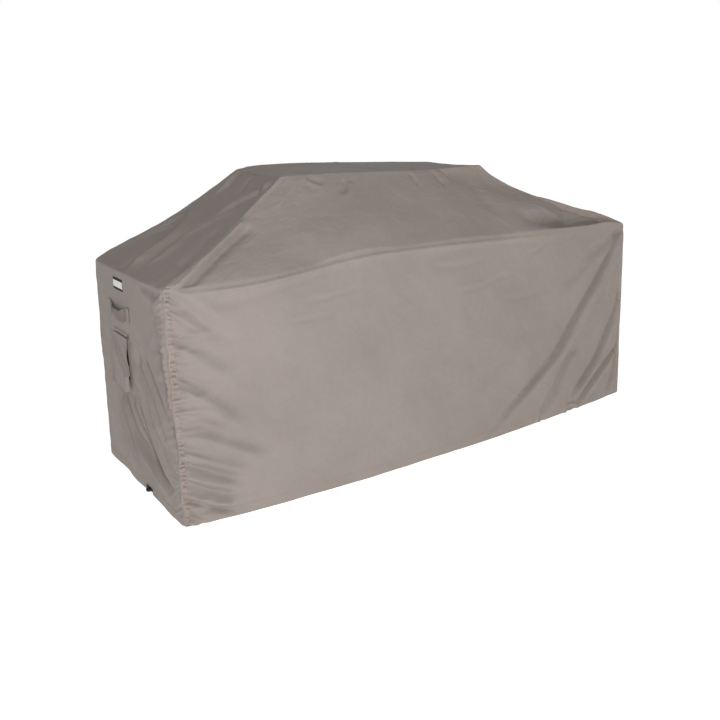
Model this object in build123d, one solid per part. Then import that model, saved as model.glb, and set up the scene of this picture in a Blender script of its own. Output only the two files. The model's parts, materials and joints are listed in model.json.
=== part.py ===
"""Fitted outdoor grill cover: a hipped cloth shell that stands on its hem.

Five cloth panels meet at taped seams.  A drawcord runs round the hem in sewn
casings and is held by a sprung cord lock in a notch of the left hem.  Each end
panel carries a webbing handle and a hooded air vent.

Frame: X along the length, Y from front (-) to back (+), Z up.  The origin is
on the ground under the middle of the hem.  All sizes are in millimetres.
"""

from build123d import *
import os
from math import asin, atan2, cos, degrees, hypot, radians, sin, tan

os.makedirs("parts", exist_ok=True)

# ---------------------------------------------------------------- shell sizes
HEM_LENGTH = 2000.0         # along X at the ground, corner to corner
HEM_DEPTH = 680.0           # along Y at the ground, corner to corner
HEM_BOW = 50.0              # how far the front and back hems belly out mid-span
EAVE_LENGTH = 1980.0        # along X where the walls turn into the slopes
EAVE_DEPTH = 606.0
EAVE_HEIGHT = 706.0
TOP_LENGTH = 868.0          # flat top over the hood of the grill
TOP_DEPTH = 312.0
TOP_SHIFT_X = -46.0         # the hood, and so the top, is left of the middle
TOP_SHIFT_Y = 86.0          # and behind it
TOTAL_HEIGHT = 970.0
CLOTH = 2.0                 # coated cloth, drawn thicker than the real weave
SEAT_GAP = 0.05             # between a sewn-on piece and the cloth under it

# ------------------------------------------------------------- seam bindings
BINDING_WIDTH = 22.0
BINDING_THICKNESS = 1.5
BINDING_FOOT = 1.0          # the corner bindings start this far above ground
TOP_BINDING_WIDTH = 14.0
TOP_BINDING_THICKNESS = 1.2

# ------------------------------------------------- hem casing and drawcord
CASING_HEIGHT = 35.0
CASING_CLOTH = 1.0
TUNNEL_DEPTH = 7.0          # free room for the cord, square to the wall
CASING_GAP = 0.3
CASING_CORNER_GAP = 46.0    # the casing stops this far from each corner
CORD_DIAMETER = 4.0
CORD_HEIGHT = 11.0          # centre of the cord above ground
CORD_CORNER_RADIUS = 30.0
BOW_RUNS = 8                # straight runs that follow a bowed hem
NOTCH_WIDTH = 52.0          # opening in the left hem where the cord shows
NOTCH_HEIGHT = 21.0
NOTCH_Y = -52.0

# ------------------------------------------------------------------ cord lock
CORD_FIT = 0.1              # free room round a strand in the lock
STRAND_SPACING = CORD_DIAMETER + 2.2   # the two strands lie one above the other
STRAND_SHIFT_RUN = 14.0     # length over which a strand moves to its height
STRAND_REACH = CORD_DIAMETER / 2 + CORD_FIT
SLOT_HEIGHT = STRAND_SPACING + 2 * STRAND_REACH
BUTTON_CHEEK = 0.3          # button above and below the cord slot
BUTTON_DIAMETER = SLOT_HEIGHT + 2 * BUTTON_CHEEK
LOCK_WALL = 2.5             # round the button, with its free room
LOCK_DIAMETER = BUTTON_DIAMETER + 2 * LOCK_WALL
LOCK_LENGTH = 20.0
LOCK_END_WALL = 1.5
LOCK_OUTER_SHARE = 9.0      # from the cord's line to the lock's outer face
BUTTON_FIT = 0.1            # radial
BUTTON_TRAVEL = 3.0
BUTTON_PROUD = 4.5          # stands out of the lock when released
BUTTON_WEB = 1.4            # wall between the cord slot and the spring
SPRING_WIRE = 0.6
SPRING_RADIUS = 3.2
SPRING_TURNS = 3
STOPPER_DIAMETER = CORD_DIAMETER + 2.6
STOPPER_LENGTH = 8.0
STOPPER_REACH = 13.0        # from the lock's middle to the stopper's near end

# ------------------------------------------------------------- end fittings
FITTING_Y = TOP_SHIFT_Y     # the end fittings sit under the top's middle
HANDLE_BELOW_EAVE = 130.0   # from the eave to the middle of the webbing
HANDLE_WEBBING = 40.0
HANDLE_THICKNESS = 2.5
HANDLE_SPAN = 128.0         # between the two sewn ends
HANDLE_TAB = 26.0
HANDLE_STANDOFF = 18.0      # clear finger room at mid-span
HANDLE_RAMP = 34.0          # along the wall, while the webbing lifts off it
PATCH_MARGIN = 4.0          # past the webbing's edges, and short of its bend
PATCH_THICKNESS = 1.2
PATCH_CORNER = 3.0
VENT_BELOW_EAVE = 220.0     # from the eave to the vent hole's upper edge
VENT_WIDTH = 100.0
VENT_HEIGHT = 130.0
VENT_BINDING = 10.0
VENT_BINDING_THICKNESS = 1.2
MESH_MARGIN = 12.0
MESH_THICKNESS = 1.0
FLAP_SIDE_LAP = 5.0         # the flap reaches this far past the vent's binding
FLAP_EDGE_LAP = 5.0         # below the hook tape
FLAP_THICKNESS = 2.0
FLAP_CORNER = 10.0
FLAP_AXIS_ABOVE_VENT = 12.0
FLAP_AXIS_STANDOFF = 3.6    # hinge line in front of the wall
FLAP_TOP_GAP = 1.0          # below the hinge line
FLAP_LEAN = 9.0             # the lower edge hangs this far off the wall line
HEADER_HEIGHT = 14.0
HEADER_GAP = 2.0            # above the hinge line
TAB_WIDTH = 46.0
TAB_HEIGHT = 16.0
TAB_THICKNESS = 1.0
TAB_BELOW_BINDING = 4.0
LABEL_WIDTH = 80.0
LABEL_HEIGHT = 37.0
LABEL_THICKNESS = 0.8
LABEL_BELOW_EAVE = 44.0     # from the eave to the label's middle
LABEL_SHIFT_Y = -10.0

SIDES = ("front", "right", "back", "left")


# ------------------------------------------------------------ shell geometry
def mix(a, b, share):
    return a + (b - a) * share


def outline(z):
    """Outer edges of the shell at a height: left, right, front, back, bow."""
    if z <= EAVE_HEIGHT:
        share = z / EAVE_HEIGHT
        half_length = mix(HEM_LENGTH, EAVE_LENGTH, share) / 2
        half_depth = mix(HEM_DEPTH, EAVE_DEPTH, share) / 2
        bow = HEM_BOW * (1 - share)
        return -half_length, half_length, -half_depth, half_depth, bow
    share = (z - EAVE_HEIGHT) / (TOTAL_HEIGHT - EAVE_HEIGHT)
    left = mix(-EAVE_LENGTH / 2, TOP_SHIFT_X - TOP_LENGTH / 2, share)
    right = mix(EAVE_LENGTH / 2, TOP_SHIFT_X + TOP_LENGTH / 2, share)
    front = mix(-EAVE_DEPTH / 2, TOP_SHIFT_Y - TOP_DEPTH / 2, share)
    back = mix(EAVE_DEPTH / 2, TOP_SHIFT_Y + TOP_DEPTH / 2, share)
    return left, right, front, back, 0.0


def corners_at(z, inset):
    """The four corners at a height, each side moved in by its own inset."""
    left, right, front, back, _ = outline(z)
    left, right = left + inset["left"], right - inset["right"]
    front, back = front + inset["front"], back - inset["back"]
    return {
        "front_left": Vector(left, front, z),
        "front_right": Vector(right, front, z),
        "back_right": Vector(right, back, z),
        "back_left": Vector(left, back, z),
    }


def even(amount):
    return {side: amount for side in SIDES}


ENDS = {
    "front": ("front_left", "front_right"),
    "right": ("front_right", "back_right"),
    "back": ("back_right", "back_left"),
    "left": ("back_left", "front_left"),
}


def side_edge(side, z, inset):
    """One side's edge at a height: an arc where the hem bows, else a line."""
    corners = corners_at(z, inset)
    start, end = (corners[name] for name in ENDS[side])
    bow = outline(z)[4]
    if side in ("left", "right") or bow < SEAT_GAP:
        return Line(start, end)
    outward = -bow if side == "front" else bow
    return ThreePointArc(start, (start + end) / 2 + Vector(0, outward, 0), end)


def strip_wire(side, z, outer, inner):
    """The mitred strip of one side at a height, between two insets."""
    near, far = side_edge(side, z, outer), side_edge(side, z, inner)
    return Wire([
        near.edge(),
        Line(near @ 1, far @ 1).edge(),
        far.edge(),
        Line(far @ 0, near @ 0).edge(),
    ])


def strip(side, low, high, outer, inner):
    sections = [strip_wire(side, z, outer, inner) for z in (low, high)]
    return Solid.make_loft(sections, ruled=True)


def slope_run(side):
    """How far a slope goes inwards between the eave and the top."""
    order = {"left": 0, "right": 1, "front": 2, "back": 3}[side]
    return abs(outline(TOTAL_HEIGHT)[order] - outline(EAVE_HEIGHT)[order])


def across_slope(side, thickness):
    """The horizontal width of a layer of this thickness on a slope."""
    rise = TOTAL_HEIGHT - EAVE_HEIGHT
    return thickness * hypot(rise, slope_run(side)) / rise


WALL_INSET = even(CLOTH)
SLOPE_INSET = {side: across_slope(side, CLOTH) for side in SIDES}
TOP_UNDERSIDE = TOTAL_HEIGHT - CLOTH


def cloth_panel(side):
    """A wall and the slope above it, cut in one piece."""
    wall = strip(side, 0, EAVE_HEIGHT, even(0), WALL_INSET)
    slope = strip(side, EAVE_HEIGHT, TOP_UNDERSIDE, even(0), SLOPE_INSET)
    return wall + slope


def top_panel():
    loops = [Wire.make_polygon(list(corners_at(z, even(0)).values()))
             for z in (TOP_UNDERSIDE, TOTAL_HEIGHT)]
    return Solid.make_loft(loops, ruled=True)


# ------------------------------------------------------------- seam bindings
def tangent_slope(z):
    """Sideways slope of the bowed hem where it reaches a corner."""
    left, right, _, _, bow = outline(z)
    half = (right - left) / 2
    return tan(2 * atan2(bow, half))


def tape_section(x_sign, y_sign, z, width, thickness, gap):
    """The tape's section in plan: it lies on the front or the back face."""
    left, right, front, back, _ = outline(z)
    corner = Vector(left if x_sign < 0 else right, front if y_sign < 0 else back, z)
    along = Vector(-x_sign, y_sign * tangent_slope(z), 0).normalized()
    outward = Vector(x_sign * y_sign * along.Y, -x_sign * y_sign * along.X, 0)
    near = corner + outward * gap
    points = [near, near + along * width, near + along * width + outward * thickness,
              near + outward * thickness]
    return Wire.make_polygon(points)


def corner_binding(x_sign, y_sign):
    """Tape over one seam, from the hem up the corner and up the hip."""
    side = "front" if y_sign < 0 else "back"
    end = "left" if x_sign < 0 else "right"
    rise = TOTAL_HEIGHT - EAVE_HEIGHT
    hip_length = hypot(slope_run(end), hypot(slope_run(side), rise))
    square_share = hypot(slope_run(side), rise) / hip_length
    hip_width = BINDING_WIDTH / square_share
    wall = Solid.make_loft(
        [tape_section(x_sign, y_sign, z, BINDING_WIDTH, BINDING_THICKNESS, SEAT_GAP)
         for z in (BINDING_FOOT, EAVE_HEIGHT)], ruled=True)
    hip = Solid.make_loft(
        [tape_section(x_sign, y_sign, z, hip_width, across_slope(side, BINDING_THICKNESS),
                      across_slope(side, SEAT_GAP))
         for z in (EAVE_HEIGHT, TOTAL_HEIGHT)], ruled=True)
    return wall + hip - cloth_panel(side)


def top_binding():
    """Flat tape round the edge of the top."""
    base = Location((TOP_SHIFT_X, TOP_SHIFT_Y, TOTAL_HEIGHT + SEAT_GAP))
    inner_length = TOP_LENGTH - 2 * TOP_BINDING_WIDTH
    inner_depth = TOP_DEPTH - 2 * TOP_BINDING_WIDTH
    ring = Rectangle(TOP_LENGTH, TOP_DEPTH) - Rectangle(inner_length, inner_depth)
    return extrude(base * ring, TOP_BINDING_THICKNESS)


# ------------------------------------------------- hem casings and drawcord
CASING_OUTER = CLOTH + CASING_GAP
TUNNEL_OUTER = CASING_OUTER + CASING_CLOTH
TUNNEL_INNER = TUNNEL_OUTER + TUNNEL_DEPTH
CASING_INNER = TUNNEL_INNER + CASING_CLOTH
CORD_INSET = (TUNNEL_OUTER + TUNNEL_INNER) / 2


def casing(side, low_end, high_end):
    """A sewn tunnel along one hem, between two places along that hem."""
    sleeve = strip(side, 0, CASING_HEIGHT, even(CASING_OUTER), even(CASING_INNER))
    tunnel = strip(side, CASING_CLOTH, CASING_HEIGHT - CASING_CLOTH,
                   even(TUNNEL_OUTER), even(TUNNEL_INNER))
    middle, length = (low_end + high_end) / 2, high_end - low_end
    if side in ("front", "back"):
        window = Pos(middle, 0, 0) * Box(length, 2 * HEM_DEPTH, 4 * CASING_HEIGHT)
    else:
        window = Pos(0, middle, 0) * Box(2 * HEM_LENGTH, length, 4 * CASING_HEIGHT)
    return (sleeve - tunnel) & window


def bowed_points(start, end, bow):
    """Points on the arc from start to end, ends left out, bow in Y."""
    half = abs(end.X - start.X) / 2
    radius = (half ** 2 + bow ** 2) / (2 * abs(bow))
    centre_y = start.Y + bow - radius * (1 if bow > 0 else -1)
    points = []
    for step in range(1, BOW_RUNS):
        angle = mix(-asin(half / radius), asin(half / radius), step / BOW_RUNS)
        turn = 1 if end.X > start.X else -1
        reach = radius * (1 if bow > 0 else -1)
        points.append(Vector(mix(start.X, end.X, 0.5) + turn * radius * sin(angle),
                             centre_y + reach * cos(angle), start.Z))
    return points


def cord_route():
    """The cord's corners, from its upper end at the lock round to its lower."""
    corner = corners_at(CORD_HEIGHT, even(CORD_INSET))
    bow = outline(CORD_HEIGHT)[4]
    lift = Vector(0, 0, STRAND_SPACING / 2)
    x = mix(corner["front_left"].X, corner["back_left"].X, 0.5)
    lock = Vector(x, NOTCH_Y, CORD_HEIGHT)
    reach = STOPPER_REACH + STOPPER_LENGTH / 2
    edge = NOTCH_WIDTH / 2
    past = edge + STRAND_SHIFT_RUN
    route = [lock - Vector(0, reach, 0) + lift, lock + Vector(0, edge, 0) + lift,
             lock + Vector(0, past, 0), corner["back_left"]]
    route += bowed_points(corner["back_left"], corner["back_right"], bow)
    route += [corner["back_right"], corner["front_right"]]
    route += bowed_points(corner["front_right"], corner["front_left"], -bow)
    route += [corner["front_left"], lock - Vector(0, past, 0),
              lock - Vector(0, edge, 0) - lift, lock + Vector(0, reach, 0) - lift]
    return route


def route_radii(route):
    """Each corner's arc: the hem corners' own size, elsewhere as large as fits."""
    radii = []
    for before, at, after in zip(route, route[1:], route[2:]):
        turn = radians((at - before).get_angle(after - at))
        shorter = min((at - before).length, (after - at).length)
        fitting = 0.45 * shorter / tan(turn / 2)
        radii.append(min(fitting, CORD_CORNER_RADIUS) if turn > 1 else fitting)
    return radii


def drawcord():
    route = cord_route()
    radii = route_radii(route)
    path = FilletPolyline(*route, radius=radii)
    print("drawcord radii:", [round(radius) for radius in radii])
    section = Plane(origin=path @ 0, z_dir=path % 0) * Circle(CORD_DIAMETER / 2)
    cord = sweep(section, path=path)
    ideal = section.area * path.length
    print("drawcord length", round(path.length), "volume share", round(cord.volume / ideal, 4))
    return cord


# ------------------------------------------------------------------ cord lock
LOCK_X = corners_at(CORD_HEIGHT, even(CORD_INSET))["front_left"].X
LOCK_OUTER_X = LOCK_X - LOCK_OUTER_SHARE
LOCK_INNER_X = LOCK_OUTER_X + LOCK_LENGTH
BUTTON_BACK_X = LOCK_X + STRAND_REACH + BUTTON_WEB


def along_x(start, end, radius):
    """A round bar on the lock's axis between two X positions."""
    return Pos((start + end) / 2, NOTCH_Y, CORD_HEIGHT) * Rot(0, 90, 0) * Cylinder(radius, end - start)


def cord_slot(start, end):
    """Room for both strands to pass across the lock, between two X positions."""
    return Pos((start + end) / 2, NOTCH_Y, CORD_HEIGHT) * Box(
        end - start, 2 * LOCK_DIAMETER, SLOT_HEIGHT)


def lock_barrel():
    barrel = along_x(LOCK_OUTER_X, LOCK_INNER_X, LOCK_DIAMETER / 2)
    bore = along_x(LOCK_OUTER_X - LOCK_END_WALL, LOCK_INNER_X - LOCK_END_WALL,
                   BUTTON_DIAMETER / 2 + BUTTON_FIT)
    barrel = barrel - bore - cord_slot(LOCK_X - STRAND_REACH, LOCK_X + STRAND_REACH)
    return fillet(barrel.edges().filter_by(GeomType.CIRCLE).sort_by(Axis.X)[-1:], 1.0)


def lock_button():
    start = LOCK_OUTER_X - BUTTON_PROUD
    button = along_x(start, BUTTON_BACK_X, BUTTON_DIAMETER / 2)
    button = fillet(button.edges().filter_by(GeomType.CIRCLE).sort_by(Axis.X)[:1], 1.2)
    slot = cord_slot(LOCK_X - STRAND_REACH - BUTTON_TRAVEL, LOCK_X + STRAND_REACH)
    return button - slot


def lock_spring():
    """Round wire coiled on the lock's axis behind the button."""
    start = BUTTON_BACK_X + SPRING_WIRE
    length = LOCK_INNER_X - LOCK_END_WALL - SPRING_WIRE - start
    coil = Helix(length / SPRING_TURNS, length, SPRING_RADIUS,
                 center=(start, NOTCH_Y, CORD_HEIGHT), direction=(1, 0, 0))
    section = Plane(origin=coil @ 0, z_dir=coil % 0) * Circle(SPRING_WIRE / 2)
    return sweep(section, path=coil, is_frenet=True)


def end_stopper(direction, height):
    """The moulded end on one strand's tail, with the tail's hole in it."""
    near = NOTCH_Y + direction * STOPPER_REACH
    middle = near + direction * STOPPER_LENGTH / 2
    place = Pos(LOCK_X, middle, height) * Rot(90, 0, 0)
    body = place * Cylinder(STOPPER_DIAMETER / 2, STOPPER_LENGTH)
    body = fillet(body.edges().filter_by(GeomType.CIRCLE), 1.0)
    hole = Pos(LOCK_X, near, height) * Rot(90, 0, 0) * Cylinder(CORD_DIAMETER / 2, STOPPER_LENGTH)
    return body - hole


# --------------------------------------------------------- left end fittings
HANDLE_HEIGHT = EAVE_HEIGHT - HANDLE_BELOW_EAVE
VENT_TOP = EAVE_HEIGHT - VENT_BELOW_EAVE
LABEL_HEIGHT_UP = EAVE_HEIGHT - LABEL_BELOW_EAVE
WALL_LEAN = atan2((HEM_LENGTH - EAVE_LENGTH) / 2, EAVE_HEIGHT)


def wall_plane(y, z, off=0.0):
    """A frame on the left wall: x towards the front, y up the wall, z outwards."""
    normal = Vector(-cos(WALL_LEAN), 0, sin(WALL_LEAN))
    origin = Vector(outline(z)[0], y, z) + normal * off
    return Plane(origin=origin, x_dir=(0, -1, 0), z_dir=normal)


def plate(y, z, width, height, off, thickness, corner=0.0):
    """A flat piece on the left wall, its back at a distance from the wall."""
    shape = RectangleRounded(width, height, corner) if corner else Rectangle(width, height)
    return extrude(wall_plane(y, z, off) * shape, thickness)


FLAP_WIDTH = VENT_WIDTH + 2 * (VENT_BINDING + FLAP_SIDE_LAP)
TAB_DROP = (FLAP_AXIS_ABOVE_VENT + VENT_HEIGHT + VENT_BINDING + TAB_BELOW_BINDING
            + TAB_HEIGHT / 2)
FLAP_HEIGHT = TAB_DROP + TAB_HEIGHT / 2 + FLAP_EDGE_LAP - FLAP_TOP_GAP
FLAP_AXIS_Z = VENT_TOP + FLAP_AXIS_ABOVE_VENT
FLAP_AXIS_PLANE = wall_plane(FITTING_Y, FLAP_AXIS_Z, FLAP_AXIS_STANDOFF)
FLAP_TILT = degrees(asin(FLAP_LEAN / FLAP_HEIGHT))
VENT_MIDDLE_Z = VENT_TOP - VENT_HEIGHT / 2


def handle_path():
    """The webbing's line in plan: flat on the wall, then bridging outwards."""
    back = HANDLE_THICKNESS / 2 + SEAT_GAP
    out = HANDLE_STANDOFF + HANDLE_THICKNESS / 2
    half = HANDLE_SPAN / 2
    points = [(-half - HANDLE_TAB, back), (-half, back), (-half + HANDLE_RAMP, out),
              (half - HANDLE_RAMP, out), (half, back), (half + HANDLE_TAB, back)]
    return FilletPolyline(*points, radius=HANDLE_RAMP * 0.7)


def handle():
    frame = wall_plane(FITTING_Y, HANDLE_HEIGHT)
    section_plane = Plane(origin=frame.origin, x_dir=frame.x_dir, z_dir=-frame.y_dir)
    band = trace(handle_path(), HANDLE_THICKNESS)
    return extrude(section_plane * band, HANDLE_WEBBING / 2, both=True)


def handle_patch(direction):
    """The stitched patch over one end of the handle."""
    width = HANDLE_TAB - 2 * PATCH_MARGIN
    y = FITTING_Y + direction * (HANDLE_SPAN / 2 + HANDLE_TAB - width / 2)
    off = HANDLE_THICKNESS + 3 * SEAT_GAP
    return plate(y, HANDLE_HEIGHT, width, HANDLE_WEBBING + 2 * PATCH_MARGIN,
                 off, PATCH_THICKNESS, PATCH_CORNER)


def vent_cut():
    return plate(FITTING_Y, VENT_MIDDLE_Z, VENT_WIDTH, VENT_HEIGHT, -3 * CLOTH, 6 * CLOTH)


def vent_mesh():
    return plate(FITTING_Y, VENT_MIDDLE_Z, VENT_WIDTH + 2 * MESH_MARGIN,
                 VENT_HEIGHT + 2 * MESH_MARGIN, -CLOTH - SEAT_GAP - MESH_THICKNESS, MESH_THICKNESS)


def vent_binding():
    outer = Rectangle(VENT_WIDTH + 2 * VENT_BINDING, VENT_HEIGHT + 2 * VENT_BINDING)
    ring = outer - Rectangle(VENT_WIDTH, VENT_HEIGHT)
    return extrude(wall_plane(FITTING_Y, VENT_MIDDLE_Z, SEAT_GAP) * ring, VENT_BINDING_THICKNESS)


def on_flap(piece):
    """Turns a piece about the hinge line by the tilt at which the flap rests."""
    return piece.rotate(Axis(FLAP_AXIS_PLANE.origin, (0, 1, 0)), FLAP_TILT)


def flap():
    middle = FLAP_TOP_GAP + FLAP_HEIGHT / 2
    sheet = FLAP_AXIS_PLANE * Pos(0, -middle, -FLAP_THICKNESS / 2) * RectangleRounded(
        FLAP_WIDTH, FLAP_HEIGHT, FLAP_CORNER)
    return on_flap(extrude(sheet, FLAP_THICKNESS))


def hook_tab():
    """Hook tape on the back of the flap."""
    off = -FLAP_THICKNESS / 2 - SEAT_GAP - TAB_THICKNESS
    tape = FLAP_AXIS_PLANE * Pos(0, -TAB_DROP, off) * Rectangle(TAB_WIDTH, TAB_HEIGHT)
    return on_flap(extrude(tape, TAB_THICKNESS))


def loop_tab():
    """Loop tape on the wall, facing the hook tape."""
    z = FLAP_AXIS_Z - TAB_DROP * cos(WALL_LEAN)
    return plate(FITTING_Y, z, TAB_WIDTH, TAB_HEIGHT, SEAT_GAP, TAB_THICKNESS)


def vent_header():
    """The sewn strip that holds the flap's upper edge."""
    z = FLAP_AXIS_Z + HEADER_GAP + HEADER_HEIGHT / 2
    return plate(FITTING_Y, z, FLAP_WIDTH, HEADER_HEIGHT, SEAT_GAP,
                 FLAP_AXIS_STANDOFF + FLAP_THICKNESS / 2 - SEAT_GAP)


def label():
    return plate(FITTING_Y + LABEL_SHIFT_Y, LABEL_HEIGHT_UP, LABEL_WIDTH, LABEL_HEIGHT,
                 SEAT_GAP, LABEL_THICKNESS)


# ------------------------------------------------------------------ assembly
def end_fittings():
    """Every fitting of the left end, by its plain name."""
    return {
        "handle": handle(),
        "handle_front_patch": handle_patch(-1),
        "handle_rear_patch": handle_patch(1),
        "vent_mesh": vent_mesh(),
        "vent_binding": vent_binding(),
        "vent_header": vent_header(),
        "vent_flap": flap(),
        "vent_hook_tab": hook_tab(),
        "vent_loop_tab": loop_tab(),
    }


def hem_notch():
    depth = 4 * CASING_INNER
    return Pos(-HEM_LENGTH / 2, NOTCH_Y, 0) * Box(depth, NOTCH_WIDTH, 2 * NOTCH_HEIGHT)


def build():
    parts = {f"{side}_panel": cloth_panel(side) for side in ("front", "back")}
    left = cloth_panel("left") - vent_cut() - hem_notch()
    right = cloth_panel("right") - mirror(vent_cut(), about=Plane.YZ)
    parts["left_end_panel"] = left
    parts["right_end_panel"] = right
    parts["top_panel"] = top_panel()

    for y_name, y_sign in (("front", -1), ("back", 1)):
        for x_name, x_sign in (("left", -1), ("right", 1)):
            parts[f"{y_name}_{x_name}_seam_binding"] = corner_binding(x_sign, y_sign)
    parts["top_seam_binding"] = top_binding()

    x_reach = HEM_LENGTH / 2 - CASING_CORNER_GAP
    y_reach = HEM_DEPTH / 2 - CASING_CORNER_GAP
    parts["front_hem_casing"] = casing("front", -x_reach, x_reach)
    parts["back_hem_casing"] = casing("back", -x_reach, x_reach)
    parts["right_hem_casing"] = casing("right", -y_reach, y_reach)
    parts["left_front_hem_casing"] = casing("left", -y_reach, NOTCH_Y - NOTCH_WIDTH / 2)
    parts["left_rear_hem_casing"] = casing("left", NOTCH_Y + NOTCH_WIDTH / 2, y_reach)

    parts["drawcord"] = drawcord()
    parts["cord_lock_barrel"] = lock_barrel()
    parts["cord_lock_button"] = lock_button()
    parts["cord_lock_spring"] = lock_spring()
    parts["upper_cord_end"] = end_stopper(-1, CORD_HEIGHT + STRAND_SPACING / 2)
    parts["lower_cord_end"] = end_stopper(1, CORD_HEIGHT - STRAND_SPACING / 2)

    for name, piece in end_fittings().items():
        parts[f"left_{name}"] = piece
        parts[f"right_{name}"] = mirror(piece, about=Plane.YZ)
    parts["label"] = label()
    return parts


for node, piece in build().items():
    export_step(piece, f"parts/{node}.step")
HINGE = FLAP_AXIS_PLANE.origin
print("flap hinge line at x", round(HINGE.X, 3), "z", round(HINGE.Z, 3))
print("lock axis at x", round(LOCK_X, 3), "y", NOTCH_Y, "z", CORD_HEIGHT)
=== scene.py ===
# %% [markdown]
# # A fitted cloth cover for an outdoor grill
# The real cover is a shell of five cloth panels: two long ones, two ends and a
# small flat top.  Each long panel and each end is cut in one piece, from the hem
# up the wall and over the slope.  Tape and stitching join them, a drawcord runs
# in the hem, and each end has a webbing handle and a hooded air vent.
#
# Everything is built here round a fixed frame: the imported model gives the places
# and the moving bodies, and each surface below takes its place from it.

# %% Load the fixed frame
import json
import math

import bpy
import numpy as np
from mathutils import Matrix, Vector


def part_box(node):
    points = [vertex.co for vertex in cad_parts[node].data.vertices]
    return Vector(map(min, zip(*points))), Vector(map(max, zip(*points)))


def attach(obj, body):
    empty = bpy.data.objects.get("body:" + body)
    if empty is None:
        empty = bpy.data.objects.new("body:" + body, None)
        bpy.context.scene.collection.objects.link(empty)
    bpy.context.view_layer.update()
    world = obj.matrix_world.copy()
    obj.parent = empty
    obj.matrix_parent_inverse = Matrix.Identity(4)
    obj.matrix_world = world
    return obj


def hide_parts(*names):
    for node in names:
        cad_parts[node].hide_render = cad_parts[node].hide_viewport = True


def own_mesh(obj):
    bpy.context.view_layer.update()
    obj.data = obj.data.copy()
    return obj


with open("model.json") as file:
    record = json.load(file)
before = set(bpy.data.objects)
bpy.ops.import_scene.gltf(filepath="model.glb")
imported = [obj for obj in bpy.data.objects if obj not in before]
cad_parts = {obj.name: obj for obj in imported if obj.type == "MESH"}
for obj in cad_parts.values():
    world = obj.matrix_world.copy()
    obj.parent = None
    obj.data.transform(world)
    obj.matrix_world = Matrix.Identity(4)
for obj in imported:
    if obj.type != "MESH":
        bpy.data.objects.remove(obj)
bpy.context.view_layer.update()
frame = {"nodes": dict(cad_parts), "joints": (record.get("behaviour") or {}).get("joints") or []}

MM = 0.001                      # shapes are worked out in millimetres


# %% [markdown]
# ## Sizes taken from the frame
# Cloth has no thickness to speak of, so a cover is known by its edges: the hem on
# the ground, the eave where the walls turn into the slopes, and the rim of the
# top.  The hem's length and depth and the rim's plan are read from the frame's own
# pieces; the rim's heights and the corners of the hem and the eave are given as numbers below.

# %% Read the edges
def box_mm(node):
    """A node's lowest and highest corner in millimetres."""
    low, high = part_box(node)
    return np.array(low) / MM, np.array(high) / MM


HEM_X = box_mm("left_end_panel")[0][0], box_mm("right_end_panel")[1][0]
HEM_Y = box_mm("left_end_panel")[0][1], box_mm("left_end_panel")[1][1]
RIM_LOW, RIM_HIGH = box_mm("top_seam_binding")
RIM_Z = box_mm("top_panel")[1][2]
HEM_BOW = HEM_Y[0] - box_mm("front_panel")[0][1]
EAVE_X = 990.0                  # half the length at the eave, as in the frame
EAVE_Y = 303.0
EAVE_Z = 706.0
print("hem", HEM_X, HEM_Y, "bow", round(HEM_BOW), "rim height", round(RIM_Z))


# %% [markdown]
# ## A smooth line through a few measured points
# Hems, eaves and sagging seams are long soft curves.  A few heights along each
# are enough, with a cubic between neighbours: it passes through every height and
# never overshoots by much, which a single high polynomial would do.

# %% The smooth line
def through(s, knots, values):
    """Value at s on a smooth line through the knots.

    Each span is a cubic that starts and ends with the mean slope of the spans
    beside it.  Outside the knots the end values hold.
    """
    knots, values = np.asarray(knots, float), np.asarray(values, float)
    slopes = np.gradient(values, knots)
    span = np.clip(np.searchsorted(knots, s) - 1, 0, len(knots) - 2)
    width = knots[span + 1] - knots[span]
    t = np.clip((s - knots[span]) / width, 0, 1)
    return ((1 + 2 * t) * (1 - t) ** 2 * values[span]
            + t * (1 - t) ** 2 * width * slopes[span]
            + t * t * (3 - 2 * t) * values[span + 1]
            + t * t * (t - 1) * width * slopes[span + 1])


def graded(marks, step):
    """Even steps from mark to mark, so that every mark is itself a grid line."""
    runs = [np.linspace(a, b, max(1, round((b - a) / step)), endpoint=False)
            for a, b in zip(marks, marks[1:])]
    return np.concatenate(runs + [[marks[-1]]])


# %% [markdown]
# ## The four sides and their shared edges
# A side is seen from outside, so "across" runs from its left corner to its right
# one, and "up" runs from the hem to the rim.  Neighbouring sides share a corner
# seam, and both read it from one table: that is what keeps a sewn seam closed,
# however much the cloth beside it is moved.

# %% Corners, hems, eaves and rims
SIDES = ("front", "right", "back", "left")
CORNERS = {"front": (0, 1), "right": (1, 2), "back": (2, 3), "left": (3, 0)}
HEM_CORNERS = np.array([(-997, -337, 0), (995, -341, 0), (997, 339, 0), (-998, 340, 0)], float)
EAVE_CORNERS = np.array([(-989, -303, 709), (988, -301, 721), (989, 302, 713),
                         (-989, 303, 708)], float)
RIM_CORNERS = np.array([(RIM_LOW[0], RIM_LOW[1], 969), (RIM_HIGH[0], RIM_LOW[1], 969),
                        (RIM_HIGH[0], RIM_HIGH[1], 969), (RIM_LOW[0], RIM_HIGH[1], 977)], float)

NOTCH_HALF, NOTCH_Y, NOTCH_HEIGHT = 26.0, -52.0, 21.0
HOLE_LOW, HOLE_HIGH = box_mm("left_vent_binding")
BINDING = 10.0                  # width of the tape round the vent hole
HOLE_Y = HOLE_LOW[1] + BINDING, HOLE_HIGH[1] - BINDING
HOLE_Z = HOLE_LOW[2] + BINDING, HOLE_HIGH[2] - BINDING

ROW_STEP, SLOPE_LINES = 3.0, 89         # mm between rows on a wall; rows on a slope
WALL = graded([0, NOTCH_HEIGHT, HOLE_Z[0], HOLE_Z[1], EAVE_Z], ROW_STEP) / EAVE_Z
ROWS = np.concatenate([WALL, 1 + np.linspace(0, 1, SLOPE_LINES)[1:]])   # 0 hem, 1 eave, 2 rim
EAVE_ROW = len(WALL) - 1


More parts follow.
